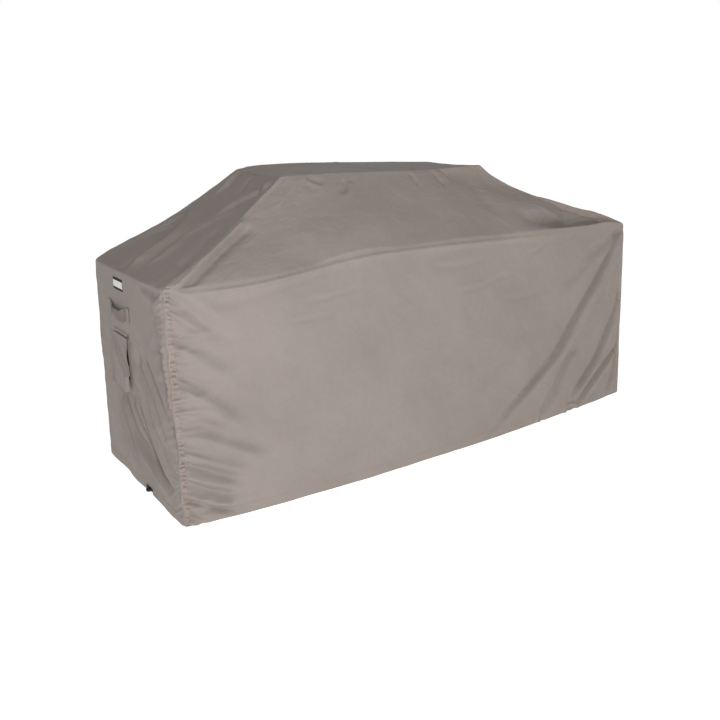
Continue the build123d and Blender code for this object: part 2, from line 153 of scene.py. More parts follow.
def edge(corners, side, a, bulges):
    """A side's edge: the straight line between its corners plus soft bulges.

    bulges maps an axis (0, 1 or 2) to knots and millimetres of bulge there.
    """
    start, end = (corners[i] for i in CORNERS[side])
    line = start + (end - start) * a[:, None]
    for axis, (knots, values) in bulges.items():
        line[:, axis] += through(a, knots, values)
    return line


FIFTHS = [0, .12, .25, .4, .6, .75, .88, 1]
HEM_BULGE = {
    "front": {1: ([0, .117, .187, .385, .551, .749, 1], [0, -27, -34, -50, -51, -38, 0])},
    "right": {0: (FIFTHS, [0, 2, -1, 3, -2, 2, -1, 0])},
    "back": {1: (FIFTHS, [0, 24, 37, 48, 47, 38, 22, 0])},
    "left": {0: (FIFTHS, [0, -1, 1, 0, 1, -1, 1, 0])},
}
EAVE_BULGE = {
    "front": {1: ([0, .12, .22, .37, .5, .7, .88, 1], [0, -2, 3, 13, 13, 11, 7, 0]),
              2: ([0, .04, .12, .22, .37, .41, .5, .7, .88, .975, 1],
                  [0, -5, -8, 1, 29, 25, 27, 20, 15, 12, 0])},
    "right": {0: (FIFTHS, [0, 1, -2, -3, -3, -2, 1, 0]), 2: (FIFTHS, [0, 1, -3, -4, -6, -3, 0, 0])},
    "back": {1: (FIFTHS, [0, 0, -5, -9, -8, -3, 0, 0]),
             2: (FIFTHS, [0, 4, 12, 17, 13, 6, -2, 0])},
    "left": {0: (FIFTHS, [0, -1, 0, 2, 2, 0, -1, 0]), 2: (FIFTHS, [0, -1, -3, -4, -5, -4, -2, 0])},
}
RIM_BULGE = {
    "front": {2: ([0, .2, .45, .7, .85, 1], [0, 1, -3, -6, -3, 0]),
              1: ([0, .3, .7, 1], [0, -2, 2, 0])},
    "right": {2: ([0, .3, .7, 1], [0, -4, -3, 0]), 0: ([0, .5, 1], [0, -6, 0])},
    "back": {2: ([0, .33, .6, .8, .93, 1], [0, 8, 13, 14, 8, 0]), 1: ([0, .5, 1], [0, -4, 0])},
    "left": {2: ([0, .15, .35, .6, .85, 1], [0, -5, -8, -8, -5, 0]),
             0: ([0, .25, .5, .8, 1], [0, 5, 9, 5, 0])},
}


# %% [markdown]
# ## How a seam leaves its straight line
# A sewn corner is stiffer than the cloth, so it wanders in short waves where the
# thread has drawn it up.  A hip hangs between the top and the eave like a loose
# rope, more so on the right, where nothing under the cover holds it up.  The
# wandering is a sum of a few waves of unlike lengths.

# %% Seams up the corners and the hips
def wander(s, lengths, height, seed):
    """A sum of sine waves of the given lengths, each at a random phase."""
    phases = np.random.default_rng(seed).uniform(0, 2 * math.pi, len(lengths))
    waves = [np.sin(2 * math.pi * s / length + phase) for length, phase in zip(lengths, phases)]
    return height * sum(waves) / math.sqrt(len(lengths))


def ends_held(s):
    """1 in the middle and 0 at both ends of a run from 0 to 1."""
    return np.clip(np.minimum(s, 1 - s) / 0.04, 0, 1)


HIP_SAG = [
    ([0, .15, .35, .6, .85, 1], [0, -6, -14, -11, -4, 0]),
    ([0, .055, .16, .25, .46, .66, .835, .94, 1], [0, 2, 0, -6, -19, -32, -30, -17, 0]),
    ([0, .1, .3, .5, .7, .9, 1], [0, 4, -8, -20, -25, -14, 0]),
    ([0, .12, .35, .6, .85, 1], [0, -2, -14, -18, -8, 0]),
]
CORNER_OUT = np.array([(-1, -1, 0), (1, -1, 0), (1, 1, 0), (-1, 1, 0)], float) / math.sqrt(2)


def corner_seam(corner):
    """How far the seam of a corner is from its straight line, row by row, in mm."""
    out = np.zeros((len(ROWS), 3))
    wall, slope = ROWS <= 1, ROWS > 1
    z, share = ROWS[wall] * EAVE_Z, ROWS[slope] - 1
    hold = ends_held(ROWS[wall])
    loose = (0.8, 0.12, 0.5, 0.25)[corner]
    out[wall, 0] = loose * hold * wander(z, (610, 233, 96, 52), 2.8, 10 + corner)
    out[wall, 1] = loose * hold * wander(z, (540, 187, 81, 47), 1.9, 20 + corner)
    out[slope, 2] = through(share, *HIP_SAG[corner]) + ends_held(share) * wander(
        share * 640, (230, 90, 46), 1.0, 30 + corner)
    return out


SEAMS = [corner_seam(corner) for corner in range(4)]
print("seams wander by up to", [round(float(np.abs(s).max()), 1) for s in SEAMS], "mm")


# %% [markdown]
# ## The bare panels
# A panel without folds is a net of straight lines: hem to eave, then eave to rim.
# Its corner seams pull the cloth near them out of true, and that pull dies away
# across the panel.  Cloth doesn't bend to a knife edge, so the rows near the eave
# are averaged with their neighbours until the bend has a radius.

# %% Grid lines across each side
LONG_SIDE_LINES, CROWDING = 265, 0.42   # lines across a long side, closer at its corners
END_STEP = 0.006                        # share of an end's width from line to line


def columns(side):
    """Where the grid lines of a side stand, from 0 to 1, closest near the corners."""
    if side in ("front", "back"):
        s = np.linspace(0, 1, LONG_SIDE_LINES)
        return s - CROWDING * np.sin(2 * math.pi * s) / (2 * math.pi)
    depth = HEM_Y[1] - HEM_Y[0]
    half = (depth + (2 * EAVE_Y - depth) * (sum(HOLE_Z) / 2 / EAVE_Z)) / 2
    notch = 0.5 - NOTCH_Y / depth
    marks = [notch - NOTCH_HALF / depth, notch + NOTCH_HALF / depth]
    holes = [0.5 - HOLE_Y[1] / (2 * half), 0.5 - HOLE_Y[0] / (2 * half)]
    if side == "right":
        return graded([0] + [1 - h for h in holes[::-1]] + [1], END_STEP)
    return graded(sorted([0, 1] + marks + holes), END_STEP)


COLUMNS = {side: columns(side) for side in SIDES}


def pull(distance, reach):
    """1 at the seam, falling to nothing beyond the reach."""
    return np.exp(-(distance / reach) ** 2)


SEAM_REACH = {"wall": 75.0, "hip": 210.0}       # mm across the cloth
ROUNDING = 14.0                                 # mm over which a corner turns


def bare_panel(side):
    """Grid of points (row, column, xyz) of a side without its folds, in mm."""
    a = COLUMNS[side]
    hem = edge(HEM_CORNERS, side, a, HEM_BULGE[side])
    eave = edge(EAVE_CORNERS, side, a, EAVE_BULGE[side])
    rim = edge(RIM_CORNERS, side, a, RIM_BULGE[side])
    wall = np.clip(ROWS, 0, 1)[:, None, None]
    slope = np.clip(ROWS - 1, 0, 1)[:, None, None]
    grid = np.where(ROWS[:, None, None] <= 1, hem + (eave - hem) * wall,
                    eave + (rim - eave) * slope)
    straight = grid.copy()
    for end, corner in zip((0, -1), CORNERS[side]):
        distance = np.linalg.norm(straight - straight[:, end][:, None], axis=2)[..., None]
        reach = np.where(ROWS <= 1, SEAM_REACH["wall"],
                         SEAM_REACH["wall"] + (SEAM_REACH["hip"] - SEAM_REACH["wall"])
                         * np.clip((ROWS - 1) * 6, 0, 1))[:, None, None]
        grid = grid + SEAMS[corner][:, None] * pull(distance, reach)
        foot = 7.0 * pull(ROWS * EAVE_Z, 40.0) if corner == 0 else 0.0
        turn = 3.0 + foot + 2.0 * pull((ROWS - 1) * EAVE_Z, 45.0)
        turn = turn * np.clip(1 - (ROWS - 1) * 9, 0, 1)
        grid = grid - CORNER_OUT[corner] * (turn[:, None, None] * pull(distance, ROUNDING))
    soft = {"left": 1, "right": 3, "front": 3, "back": 3}[side]
    return soften_eave(grid, soft)


def soften_eave(grid, rounds, seam_rounds=4):
    """Averages each row with the rows beside it, so that the eave gets a radius.

    The seams at both ends get the same number of rounds on every side.
    """
    share = pull(np.minimum(np.arange(grid.shape[1]), np.arange(grid.shape[1])[::-1]), 6.0)
    softened = {}
    for count in {rounds, seam_rounds}:
        work = grid.copy()
        for _ in range(count):
            work[1:-1] = (work[:-2] + 2 * work[1:-1] + work[2:]) / 4
        softened[count] = work
    share = share[None, :, None]
    return softened[rounds] * (1 - share) + softened[seam_rounds] * share


def outward(grid):
    """Unit normals of a grid whose columns run across and whose rows run up."""
    normal = np.cross(np.gradient(grid, axis=1), np.gradient(grid, axis=0))
    return normal / np.maximum(np.linalg.norm(normal, axis=2, keepdims=True), 1e-9)


# %% [markdown]
# ## One fold
# A fold in hung cloth is a long ridge with a trough beside it.  It starts where
# something holds the cloth, at a corner or a seam, and fades where the cloth lies
# flat.  Each fold here has a path, a width and a height.  The height of the cloth
# depends only on the distance from the path, and on how far along it the nearest
# point is.  Sculpting would give the same look, but a fold that is a formula can
# be moved by changing one number.

# %% The height of a fold
LEAN = 1.7                      # a trough lies this many widths beside its ridge
FADE_IN, FADE_OUT = 0.12, 0.3   # shares of the path over which a fold rises and dies


def fold(points, path, width, height, trough, lean=LEAN):
    """Height in mm that one fold adds at each point, both in a panel's own plane.

    ridge  = height * exp(-(d/w)^2)
    trough = trough * height * exp(-((d - lean*w) / 1.3w)^2)
    d is the distance to the path, positive on the right-hand side seen along
    it; a negative lean puts the trough on the other side.  w goes from the first
    width to the second, and the height fades at both ends of the path.
    """
    path = np.asarray(path, float)
    knots = np.arange(len(path))
    fine = np.linspace(0, len(path) - 1, 7 * (len(path) - 1) + 1)
    line = np.stack([through(fine, knots, path[:, k]) for k in (0, 1)], axis=1)
    first, last = np.broadcast_to(width, 2)
    height_out = np.zeros(points.shape[:-1])
    margin = 4.5 * max(first, last)
    near = ((points > line.min(0) - margin) & (points < line.max(0) + margin)).all(-1)
    p = points[near]
    if not len(p):
        return height_out
    step = np.diff(line, axis=0)
    length = np.linalg.norm(step, axis=1)
    rel = p[:, None] - line[:-1]
    t = np.clip((rel * step).sum(-1) / length ** 2, 0, 1)
    gap = rel - t[..., None] * step
    distance = np.linalg.norm(gap, axis=-1)
    best = distance.argmin(1)
    rows = np.arange(len(p))
    side = np.sign(gap[rows, best, 0] * step[best, 1] - gap[rows, best, 1] * step[best, 0])
    d = side * distance[rows, best]
    along = (best + t[rows, best]) / len(step)
    w = first + (last - first) * along
    fade = np.clip(along / FADE_IN, 0, 1) ** 1.5 * np.clip((1 - along) / FADE_OUT, 0, 1) ** 1.5
    at_end = (along <= 0) | (along >= 1)
    over = np.where(at_end, distance[rows, best], 0)
    shape = np.exp(-(d / w) ** 2) + trough * np.exp(-((d - lean * w) / (1.3 * w)) ** 2)
    height_out[near] = height * fade * shape * np.where(at_end, pull(over, w), 1)
    return height_out


def lumps(points, lengths, height, seed, count=5):
    """Soft irregular lumps: waves of the given lengths in random directions."""
    rng = np.random.default_rng(seed)
    total = np.zeros(points.shape[:-1])
    for length in lengths:
        for angle, phase in zip(rng.uniform(0, math.pi, count), rng.uniform(0, 7, count)):
            run = points[..., 0] * math.cos(angle) + points[..., 1] * math.sin(angle)
            total += length * np.sin(2 * math.pi * run / length + phase)
    return height * total / (max(lengths) * math.sqrt(count * len(lengths)))


# %% [markdown]
# ## Where the folds are
# The cover is pulled down at its near corner and hangs loose on the right, so the
# front wall has long folds that fan down and to the left from the right eave
# corner.  The near corner's seam draws short puckers into both panels.  Paths are
# in the panel's own directions: along the ground and up, in millimetres.

# %% Folds of the front panel
FRONT_FOLDS = [
    # the fan from the right eave corner: path, width, height, trough
    ([(962, 700), (937, 668), (815, 510), (703, 393), (592, 284), (483, 198), (359, 125),
      (239, 54), (147, 8)], (7, 12), -10, -0.6),
    ([(950, 640), (872, 520), (762, 396), (650, 290), (540, 205), (430, 130)], (16, 34), 7, -0.3),
    ([(700, 272), (634, 203), (561, 109), (497, 48), (461, 4)], (11, 16), -8, -0.6),
    ([(978, 520), (962, 400), (890, 275), (825, 188), (747, 119), (689, 75),
      (660, 30)], (10, 11), -11, -0.6),
    ([(985, 235), (972, 204), (880, 143), (790, 83), (721, 33), (662, -8)], (8, 10), -9, -0.5),
    ([(962, 700), (906, 678), (830, 640), (759, 608), (700, 590)], (8, 14), -2.6, -0.5),
    ([(970, 706), (956, 690), (808, 616), (667, 528), (560, 470)], (11, 24), -5, -0.5),
    ([(966, 690), (930, 560), (890, 430), (850, 330), (790, 240)], (12, 22), 6, -0.5),
    ([(440, 650), (461, 660), (522, 683), (560, 700)], 9, -1.6, -0.5),
    ([(988, 330), (972, 159), (940, 70), (899, 12)], (10, 12), -9, -0.4),
    ([(642, -5), (636, 25), (650, 60)], 9, -5, -0.8),
    ([(480, -5), (472, 22), (490, 48)], 8, -4, -0.8),
    ([(705, -5), (690, 18), (640, 26), (600, 12)], 8, 4, -0.8),
    # beside the near corner
    ([(-1001, 214), (-948, 186), (-849, 130), (-780, 95)], (10, 20), -7, -0.9),
    ([(-1001, 158), (-899, 97), (-800, 60)], (9, 16), -5, -0.9),
    ([(-1002, 101), (-938, 62), (-871, 29), (-820, 12)], (8, 12), -8, -0.9),
    ([(-995, 445), (-926, 397), (-843, 318), (-760, 240)], (15, 30), 6, -0.8),
    ([(-984, 706), (-922, 649), (-852, 581), (-770, 500)], (11, 30), -5, -0.8),
    ([(-990, 560), (-930, 515), (-850, 455), (-790, 420)], (12, 26), 4, -0.8),
    ([(-982, 284), (-912, 261), (-772, 185), (-700, 160)], (12, 24), 5, -0.8),
    ([(-995, 345), (-920, 318), (-830, 262)], (11, 20), -5, -0.8),
    ([(-996, 40), (-900, 36), (-760, 20)], (8, 14), -4, -0.8),
    # faint creases across the wall under the eave
    ([(-560, 610), (-420, 618), (-300, 640)], 9, -1.2, -0.5),
    ([(-620, 555), (-500, 560), (-440, 568)], 8, -1.0, -0.5),
    ([(60, 560), (190, 566), (300, 590), (380, 585)], 10, -1.1, -0.5),
    ([(-40, 655), (120, 650), (260, 668)], 12, -1.1, -0.5),
    ([(300, 505), (400, 500), (470, 512)], 11, -0.9, -0.5),
    ([(-900, 640), (-700, 655), (-480, 690), (-300, 722)], (16, 12), -1.6, -0.8),
    ([(120, 300), (60, 230), (-60, 150)], 26, 3.0, -0.5),
    ([(430, 420), (330, 330), (190, 240), (60, 170)], 30, -3.0, -0.5),
    # the long bright roll just under the eave
    ([(-980, 690), (-700, 688), (-300, 722), (0, 724), (400, 716),
      (780, 712)], (8, 10), 3.6, -0.2),
]

FRONT_SLOPE_FOLDS = [
    # the roll beside the left hip, with a crease under it
    ([(-640, 856), (-690, 836), (-740, 812), (-802, 781), (-888, 737), (-960, 704),
      (-1030, 672)], (10, 8), 7, -1.0),
    # the right-hand pocket: a hollow behind the eave, and the lip above it
    ([(975, 733), (900, 737), (848, 738), (739, 744), (665, 757), (590, 770), (500, 778),
      (410, 790)], (13, 26), -30, -0.05),
    ([(965, 738), (880, 742), (780, 756), (680, 782), (560, 830)], (20, 80), -19, 0.0),
    ([(985, 735), (930, 741), (848, 743), (739, 757), (665, 781), (600, 806),
      (540, 828)], (6, 9), 5.5, 0.1),
    ([(297, 918), (311, 880), (326, 845), (339, 783)], 26, -2.5, -0.5),
    ([(-250, 950), (-262, 925), (-300, 905)], 9, -3, -0.7),
    ([(-395, 955), (-370, 938), (-330, 930)], 8, 2.5, -0.7),
    ([(40, 960), (50, 935), (44, 915)], 8, -2.5, -0.6),
    ([(150, 958), (160, 930), (180, 905)], 9, -3, -0.6),
    ([(175, 960), (190, 942), (205, 920)], 7, 2.5, -0.6),
    ([(-500, 760), (-300, 800), (-80, 850)], 60, 4, -0.4),
]

# %% Folds of the left end panel
LEFT_FOLDS = [
    ([(60, 500), (9, 441), (-100, 359), (-212, 249), (-325, 100)], (16, 24), 7.5, -0.8),
    ([(150, 285), (96, 239), (-1, 144), (-187, 90), (-293, 40)], (15, 26), 7, -0.8),
    ([(-40, 470), (-124, 395), (-200, 331), (-282, 239), (-330, 170)], (14, 20), 6.5, -0.9),
    ([(-196, 700), (-208, 640), (-226, 560), (-262, 470), (-300, 390)], (28, 30), -2.6, -0.6),
    ([(-240, 560), (-262, 480), (-280, 390), (-310, 285), (-325, 190)], (18, 20), -4.2, -0.7),
    ([(80, 360), (10, 280), (-70, 205), (-190, 120), (-300, 50)], (13, 20), -6.5, -0.8),
    ([(-30, 330), (-110, 240), (-215, 145), (-315, 60)], (13, 18), -6, -0.9),
    ([(20, 450), (-60, 365), (-150, 262), (-250, 150), (-310, 90)], (11, 16), 4.5, -0.8),
    ([(150, 430), (80, 330), (-20, 225), (-130, 130), (-220, 60)], (14, 20), 4.5, -0.8),
    ([(210, 350), (175, 240), (90, 120), (0, 20)], (24, 30), 5, -0.6),
    ([(290, 500), (262, 340), (230, 180), (205, 30)], (26, 32), 4, -0.6),
    ([(-290, 694), (-240, 682), (-170, 688), (-110, 700)], 12, -3, -0.7),
    ([(340, 430), (320, 418), (280, 402)], 9, -2.5, -0.7),
]

LEFT_SLOPE_FOLDS = [
    ([(10, 716), (40, 745), (78, 796), (150, 836), (221, 869), (232, 920)], (20, 16), 8, -0.7),
    ([(-60, 724), (-40, 760), (0, 804), (-40, 860), (-93, 892)], (18, 14), 5, -0.8),
    ([(238, 965), (219, 950), (200, 920), (185, 890)], 9, 5, -0.7),
    ([(-73, 964), (-20, 915), (20, 884), (22, 830)], (8, 14), 4, -0.8),
    ([(270, 722), (246, 756), (212, 800), (190, 850)], (12, 10), 3.5, -0.9),
    ([(280, 735), (262, 765), (238, 812), (234, 862)], (7, 7), -2.2, -0.9),
    ([(-270, 724), (-215, 745), (-150, 760)], (8, 16), -3, -0.7),
    ([(-280, 722), (-150, 790), (-90, 860)], (14, 18), -3, -0.6),
    ([(120, 965), (96, 930), (40, 905)], (7, 12), -4, -0.7),
    ([(-30, 966), (-34, 930), (-70, 900)], (6, 11), -3.5, -0.7),
]

# %% Folds of the two sides that face away
RIGHT_FOLDS = [
    ([(-300, 700), (-230, 560), (-150, 420), (-60, 260), (20, 100), (60, 10)], (12, 26), -9, -0.7),
    ([(-320, 420), (-250, 300), (-160, 170), (-90, 30)], (14, 20), -7, -0.7),
    ([(-330, 210), (-270, 130), (-220, 20)], (10, 13), -7, -0.8),
    ([(300, 700), (262, 600), (240, 470), (250, 330)], (12, 22), 7, -0.7),
    ([(320, 400), (230, 280), (120, 180), (-20, 60)], (14, 26), 7, -0.7),
    ([(335, 220), (260, 130), (170, 40)], (10, 16), -7, -0.8),
    ([(200, 640), (150, 520), (160, 380), (200, 260)], 26, 4, -0.6),
    ([(-80, 330), (0, 240), (110, 120), (180, 10)], (16, 24), 4, -0.7),
]
RIGHT_SLOPE_FOLDS = [
    ([(-295, 722), (-150, 752), (0, 800), (110, 890)], (10, 30), -12, -0.5),
    ([(290, 722), (200, 770), (120, 850), (80, 940)], (12, 26), 8, -0.7),
    ([(-200, 712), (-120, 790), (-60, 900)], (16, 14), 5, -0.8),
    ([(-60, 960), (-30, 900), (40, 850)], (8, 15), -5, -0.7),
    ([(180, 960), (190, 900), (230, 850)], (8, 14), 4, -0.7),
]
BACK_FOLDS = [
    ([(-970, 700), (-860, 540), (-700, 400), (-520, 280), (-300, 150),
      (-150, 20)], (13, 32), -10, -0.7),
    ([(-985, 480), (-880, 340), (-760, 220), (-640, 110), (-560, 10)], (16, 24), -8, -0.7),
    ([(-990, 240), (-890, 150), (-790, 60), (-740, 5)], (11, 14), -7, -0.8),
    ([(975, 690), (900, 560), (760, 420), (600, 330), (420, 270)], (12, 34), 7, -0.7),
    ([(985, 430), (880, 330), (740, 240), (590, 180)], (12, 28), -7, -0.7),
    ([(990, 240), (900, 170), (780, 110), (650, 80)], (10, 22), 6, -0.8),
    ([(992, 120), (900, 75), (780, 20)], (9, 15), -7, -0.9),
    ([(300, 640), (120, 600), (-60, 610), (-260, 650)], 24, -4, -0.6),
    ([(200, 420), (40, 360), (-180, 330)], 34, 4, -0.6),
    ([(500, 130), (380, 70), (300, 5)], (16, 20), 5, -0.7),
]
BACK_SLOPE_FOLDS = [
    ([(-980, 716), (-800, 735), (-640, 790), (-520, 860)], (10, 26), 8, -0.7),
    ([(970, 722), (800, 735), (640, 742), (480, 800)], (9, 34), -12, -0.3),
    ([(-200, 960), (-215, 880), (-260, 800)], (10, 24), -5, -0.6),
    ([(180, 960), (160, 880), (170, 800)], (9, 22), 4, -0.7),
]
WALL_FOLDS = {"front": FRONT_FOLDS, "left": LEFT_FOLDS, "right": RIGHT_FOLDS,
              "back": BACK_FOLDS}
SLOPE_FOLDS = {"front": FRONT_SLOPE_FOLDS, "left": LEFT_SLOPE_FOLDS,
               "right": RIGHT_SLOPE_FOLDS, "back": BACK_SLOPE_FOLDS}


# %% [markdown]
# ## Puckers along a drawn-up seam
# Seam tape is sewn on under tension, so the cloth beside it gathers into small
# tucks, one every couple of centimetres.  Each tuck is a short ridge that leaves
# the seam at its own angle and dies within a hand's width.

# %% Puckers
def puckers(distance, z, low, high, seed, height=3.0, pitch=19.0, reach=(25, 95)):
    """Height in mm of the tucks along one seam.

    Tuck i is a ridge exp(-((z - zi - slope*distance)/w)^2) that fades with the
    distance from the seam over its own reach.
    """
    rng = np.random.default_rng(seed)
    total = np.zeros(distance.shape)
    near = distance < 2.2 * reach[1]
    far, up = distance[near], z[near]
    part = np.zeros(len(far))
    count = int((high - low) / pitch)
    for place in np.linspace(low, high, count) + rng.uniform(-5, 5, count):
        slope = rng.uniform(-0.75, 0.15)
        own_reach = rng.uniform(*reach) * rng.choice([0.6, 1.0, 1.4])
        width = rng.uniform(3.0, 5.2) * (1 + far / 60)
        rise = height * rng.uniform(0.45, 1.1)
        ridge = np.exp(-((up - place - slope * far) / width) ** 2)
        dent = np.exp(-((up - place + 1.6 * width - slope * far) / width) ** 2)
        part += rise * (ridge - 0.7 * dent) * np.exp(-(far / own_reach) ** 1.4)
    total[near] = part
    return total


# %% [markdown]
# ## The finished panels
# Lumps, folds and puckers all push the cloth along its normal.  A window holds the
# push at nothing on the seams themselves, because two panels meet there, and lets
# it grow within a few millimetres.

# %% Push the panels out of flat
SEAM_ROOM = (0.6, 0.16, 0.3, 0.2)   # how steeply cloth may rise beside each corner seam
FULLNESS = {"front": 1.9, "left": 2.2, "right": 1.6, "back": 1.6}   # times a fold's height
LEFT_SLOPE_SHARE = 0.8          # the left slope is pulled tighter than the wall below it
EAVE_CLEAR = 14                 # mm on each side of the eave over which folds grow
FITTING_MARGIN, FITTING_HOLD = 26, 0.88     # mm of calm cloth round the fittings, how calm
WIDEST = 1009                   # mm from the middle that no cloth passes
PLANE_AXES = {"front": (0, 2), "back": (0, 2), "left": (1, 2), "right": (1, 2)}
PUCKER_HEIGHT = {("front", 0): 7.4, ("left", 1): 2.6, ("front", 1): 0.9, ("right", 0): 1.6,
                 ("right", 1): 2.0, ("back", 0): 2.0, ("back", 1): 1.4, ("left", 0): 0.7}


def finished_panel(side):
    """A side's grid with everything that the cloth does, in mm."""
    bare = bare_panel(side)
    normal = outward(bare)
    plane = bare[..., PLANE_AXES[side]]
    push = lumps(plane, (420, 260, 150), 2.8, hash_of(side))
    push += lumps(plane, (85, 52), 0.5, hash_of(side) + 5)
    lean = LEAN if side in ("back", "left") else -LEAN
    for folds, rows in ((WALL_FOLDS, 1 - ROWS), (SLOPE_FOLDS, ROWS - 1)):
        here = np.clip(rows * EAVE_Z / EAVE_CLEAR, 0, 1)[:, None]
        if side == "left" and folds is SLOPE_FOLDS:
            here = LEFT_SLOPE_SHARE * here
        for path, width, height, trough in folds[side]:
            push += here * fold(plane, path, width, FULLNESS[side] * height, trough, lean=lean)
    distances = [np.linalg.norm(bare - bare[:, end][:, None], axis=2) for end in (0, -1)]
    for distance, corner in zip(distances, CORNERS[side]):
        push = np.minimum(push, 1.0 + SEAM_ROOM[corner] * distance)
    for index, distance in enumerate(distances):
        push += puckers(distance, bare[..., 2], 25, 690, hash_of(side) + 11 + index,
                        PUCKER_HEIGHT[side, index]) * (ROWS < 1.0)[:, None]
        push += puckers(distance, bare[..., 2], 15, 695, hash_of(side) + 21 + index,
                        0.42 * PUCKER_HEIGHT[side, index], 10.0, (12, 34)) * (ROWS < 1.0)[:, None]
    if side in ("left", "right"):
        push *= 1 - FITTING_HOLD * fitting_zone(bare[..., 1], bare[..., 2])
    from_seam = np.minimum(*distances)
    from_rim = np.linalg.norm(bare - bare[-1], axis=2)
    window = (1 - pull(from_seam, 7.0)) * (1 - pull(from_rim, 9.0))
    grid = bare + normal * (push * window)[..., None]
    ground = np.clip(bare[..., 2] / 12, 0, 1)
    grid[..., 2] = np.maximum(bare[..., 2] + (grid[..., 2] - bare[..., 2]) * ground, 0.6)
    grid[..., 0] = np.clip(grid[..., 0], -WIDEST, WIDEST)
    return grid


def fitting_zone(y, z):
    """1 where the handle, vent and label are sewn on, which keeps the cloth flat."""
    low, high = box_mm("left_handle")[0][1], box_mm("left_handle")[1][1]
    foot, top = box_mm("left_vent_flap")[0][2], box_mm("label")[1][2]
    beside = np.maximum(np.maximum(low - y, y - high), 0) / FITTING_MARGIN
    above = np.maximum(np.maximum(foot - z, z - top), 0) / FITTING_MARGIN
    return np.exp(-beside ** 2 - above ** 2)


def hash_of(side):
    """A fixed number for each side, so that its random draws never change."""
    return 100 * (1 + SIDES.index(side))


PANELS = {side: finished_panel(side) for side in SIDES}
NORMALS = {side: outward(PANELS[side]) for side in SIDES}
for side in SIDES:
    print(side, "grid", PANELS[side].shape[:2], "spans",
          np.round(PANELS[side].min((0, 1))), np.round(PANELS[side].max((0, 1))))


# %% [markdown]
# ## From a grid to a mesh
# One helper turns any grid of points into quads, with whole arrays.  It can close
# the grid on itself, leave out faces for a hole, and it stores the cloth's own
# flat coordinates in metres as a UV map, so that the weave follows the cloth.

# %% Grid to mesh
def flat_lengths(grid):
    """Distance across and up the cloth itself, from its middle column and its foot."""
    across = np.cumsum(np.linalg.norm(np.diff(grid, axis=1, prepend=grid[:, :1]), axis=2), axis=1)
    up = np.cumsum(np.linalg.norm(np.diff(grid, axis=0, prepend=grid[:1]), axis=2), axis=0)
    middle = grid.shape[1] // 2
    return np.stack([across - across[:, middle:middle + 1], up], axis=2)


def grid_mesh(name, grid, material, keep=None, wrap=(False, False)):
    """A mesh object from a grid of points in mm; rows run up, columns to the right."""
    rows, cols = grid.shape[:2]
    uv = flat_lengths(grid) * MM
    r = np.arange(rows if wrap[0] else rows - 1)[:, None]
    c = np.arange(cols if wrap[1] else cols - 1)[None]
    r1, c1 = (r + 1) % rows, (c + 1) % cols
    quads = np.stack([r * cols + c, r * cols + c1, r1 * cols + c1, r1 * cols + c], axis=-1)
    quads = quads[keep] if keep is not None else quads.reshape(-1, 4)
    used, quads = np.unique(quads, return_inverse=True)
    quads = quads.reshape(-1, 4)
    points = grid.reshape(-1, 3)[used] * MM
    return mesh_object(name, points, quads, material, uv.reshape(-1, 2)[used])


def mesh_object(name, points, faces, material, uv=None):
    """A mesh object from arrays of points in metres and faces of equal size."""
    mesh = bpy.data.meshes.new(name)
    sides = faces.shape[1]
    mesh.vertices.add(len(points))
    mesh.loops.add(faces.size)
    mesh.polygons.add(len(faces))
    mesh.vertices.foreach_set("co", np.ascontiguousarray(points, np.float32).ravel())
    mesh.loops.foreach_set("vertex_index", np.ascontiguousarray(faces, np.int32).ravel())
    mesh.polygons.foreach_set("loop_start", np.arange(0, faces.size, sides, dtype=np.int32))
    mesh.polygons.foreach_set("use_smooth", np.full(len(faces), True))
    mesh.update(calc_edges=True)
    if uv is not None:
        layer = mesh.uv_layers.new(name="cloth")
        layer.data.foreach_set("uv", np.ascontiguousarray(uv[faces.ravel()], np.float32).ravel())
    mesh.materials.append(material)
    piece = bpy.data.objects.new(name, mesh)
    bpy.context.scene.collection.objects.link(piece)
    return piece


def sew_on(piece, node, slot_name, body="cover"):
    """What every piece needs: a body, and the frame piece it stands for hidden.  slot_name is not
    used.
    """
    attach(piece, body)
    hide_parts(node)


def flat_size(low, high):
    """Width and height in metres of a box on an end wall."""
    return tuple(round(float(high[k] - low[k]) * MM, 3) for k in (1, 2))


# %% [markdown]
# ## Colours and nodes
# Colours are written as they look on screen, in hex, and one function turns them
# into the linear values that the renderer works with.  One more function adds a
# node with its settings and its links, and every material below is built with it.

# %% Colour and node helpers
def colour(hex_code):
    """Linear RGBA of an sRGB hex colour."""
    srgb = np.array([int(hex_code[i:i + 2], 16) for i in (1, 3, 5)]) / 255
    linear = np.where(srgb <= 0.04045, srgb / 12.92, ((srgb + 0.055) / 1.055) ** 2.4)
    return (*linear.tolist(), 1.0)


def add(tree, kind, settings=None, **inputs):
    """Adds a node; an input's value is a constant, or an output socket to link from.

    An underscore and a number at the end of a name pick the input by position.
    """
    node = tree.nodes.new(kind)
    for key, value in (settings or {}).items():
        setattr(node, key, value)
    for key, value in inputs.items():
        words = key.split("_")
        key = int(words[-1]) if words[-1].isdigit() else " ".join(words)
        socket = node.inputs[key]
        if isinstance(value, bpy.types.NodeSocket):
            tree.links.new(value, socket)
        else:
            socket.default_value = value
    return node


def new_material(name):
    """An empty node material with its surface shader and output, ready to be linked."""
    material = bpy.data.materials.new(name)
    material.use_nodes = True
    tree = material.node_tree
    tree.nodes.clear()
    output = tree.nodes.new("ShaderNodeOutputMaterial")
    shader = tree.nodes.new("ShaderNodeBsdfPrincipled")
    tree.links.new(shader.outputs[0], output.inputs[0])
    return material, tree, shader


# %% [markdown]
# ## Coated polyester cloth
# Grill covers are woven from polyester yarn, about half a millimetre a thread,
# dyed taupe and coated on the inside, which makes them stiff enough to crease.
# To the eye that is a matte, slightly uneven grey-brown, a fine square weave close
# up, and a faint net of creases from having been packed.  The threads are drawn at
# 1.4 mm, since real ones would be too fine to show.

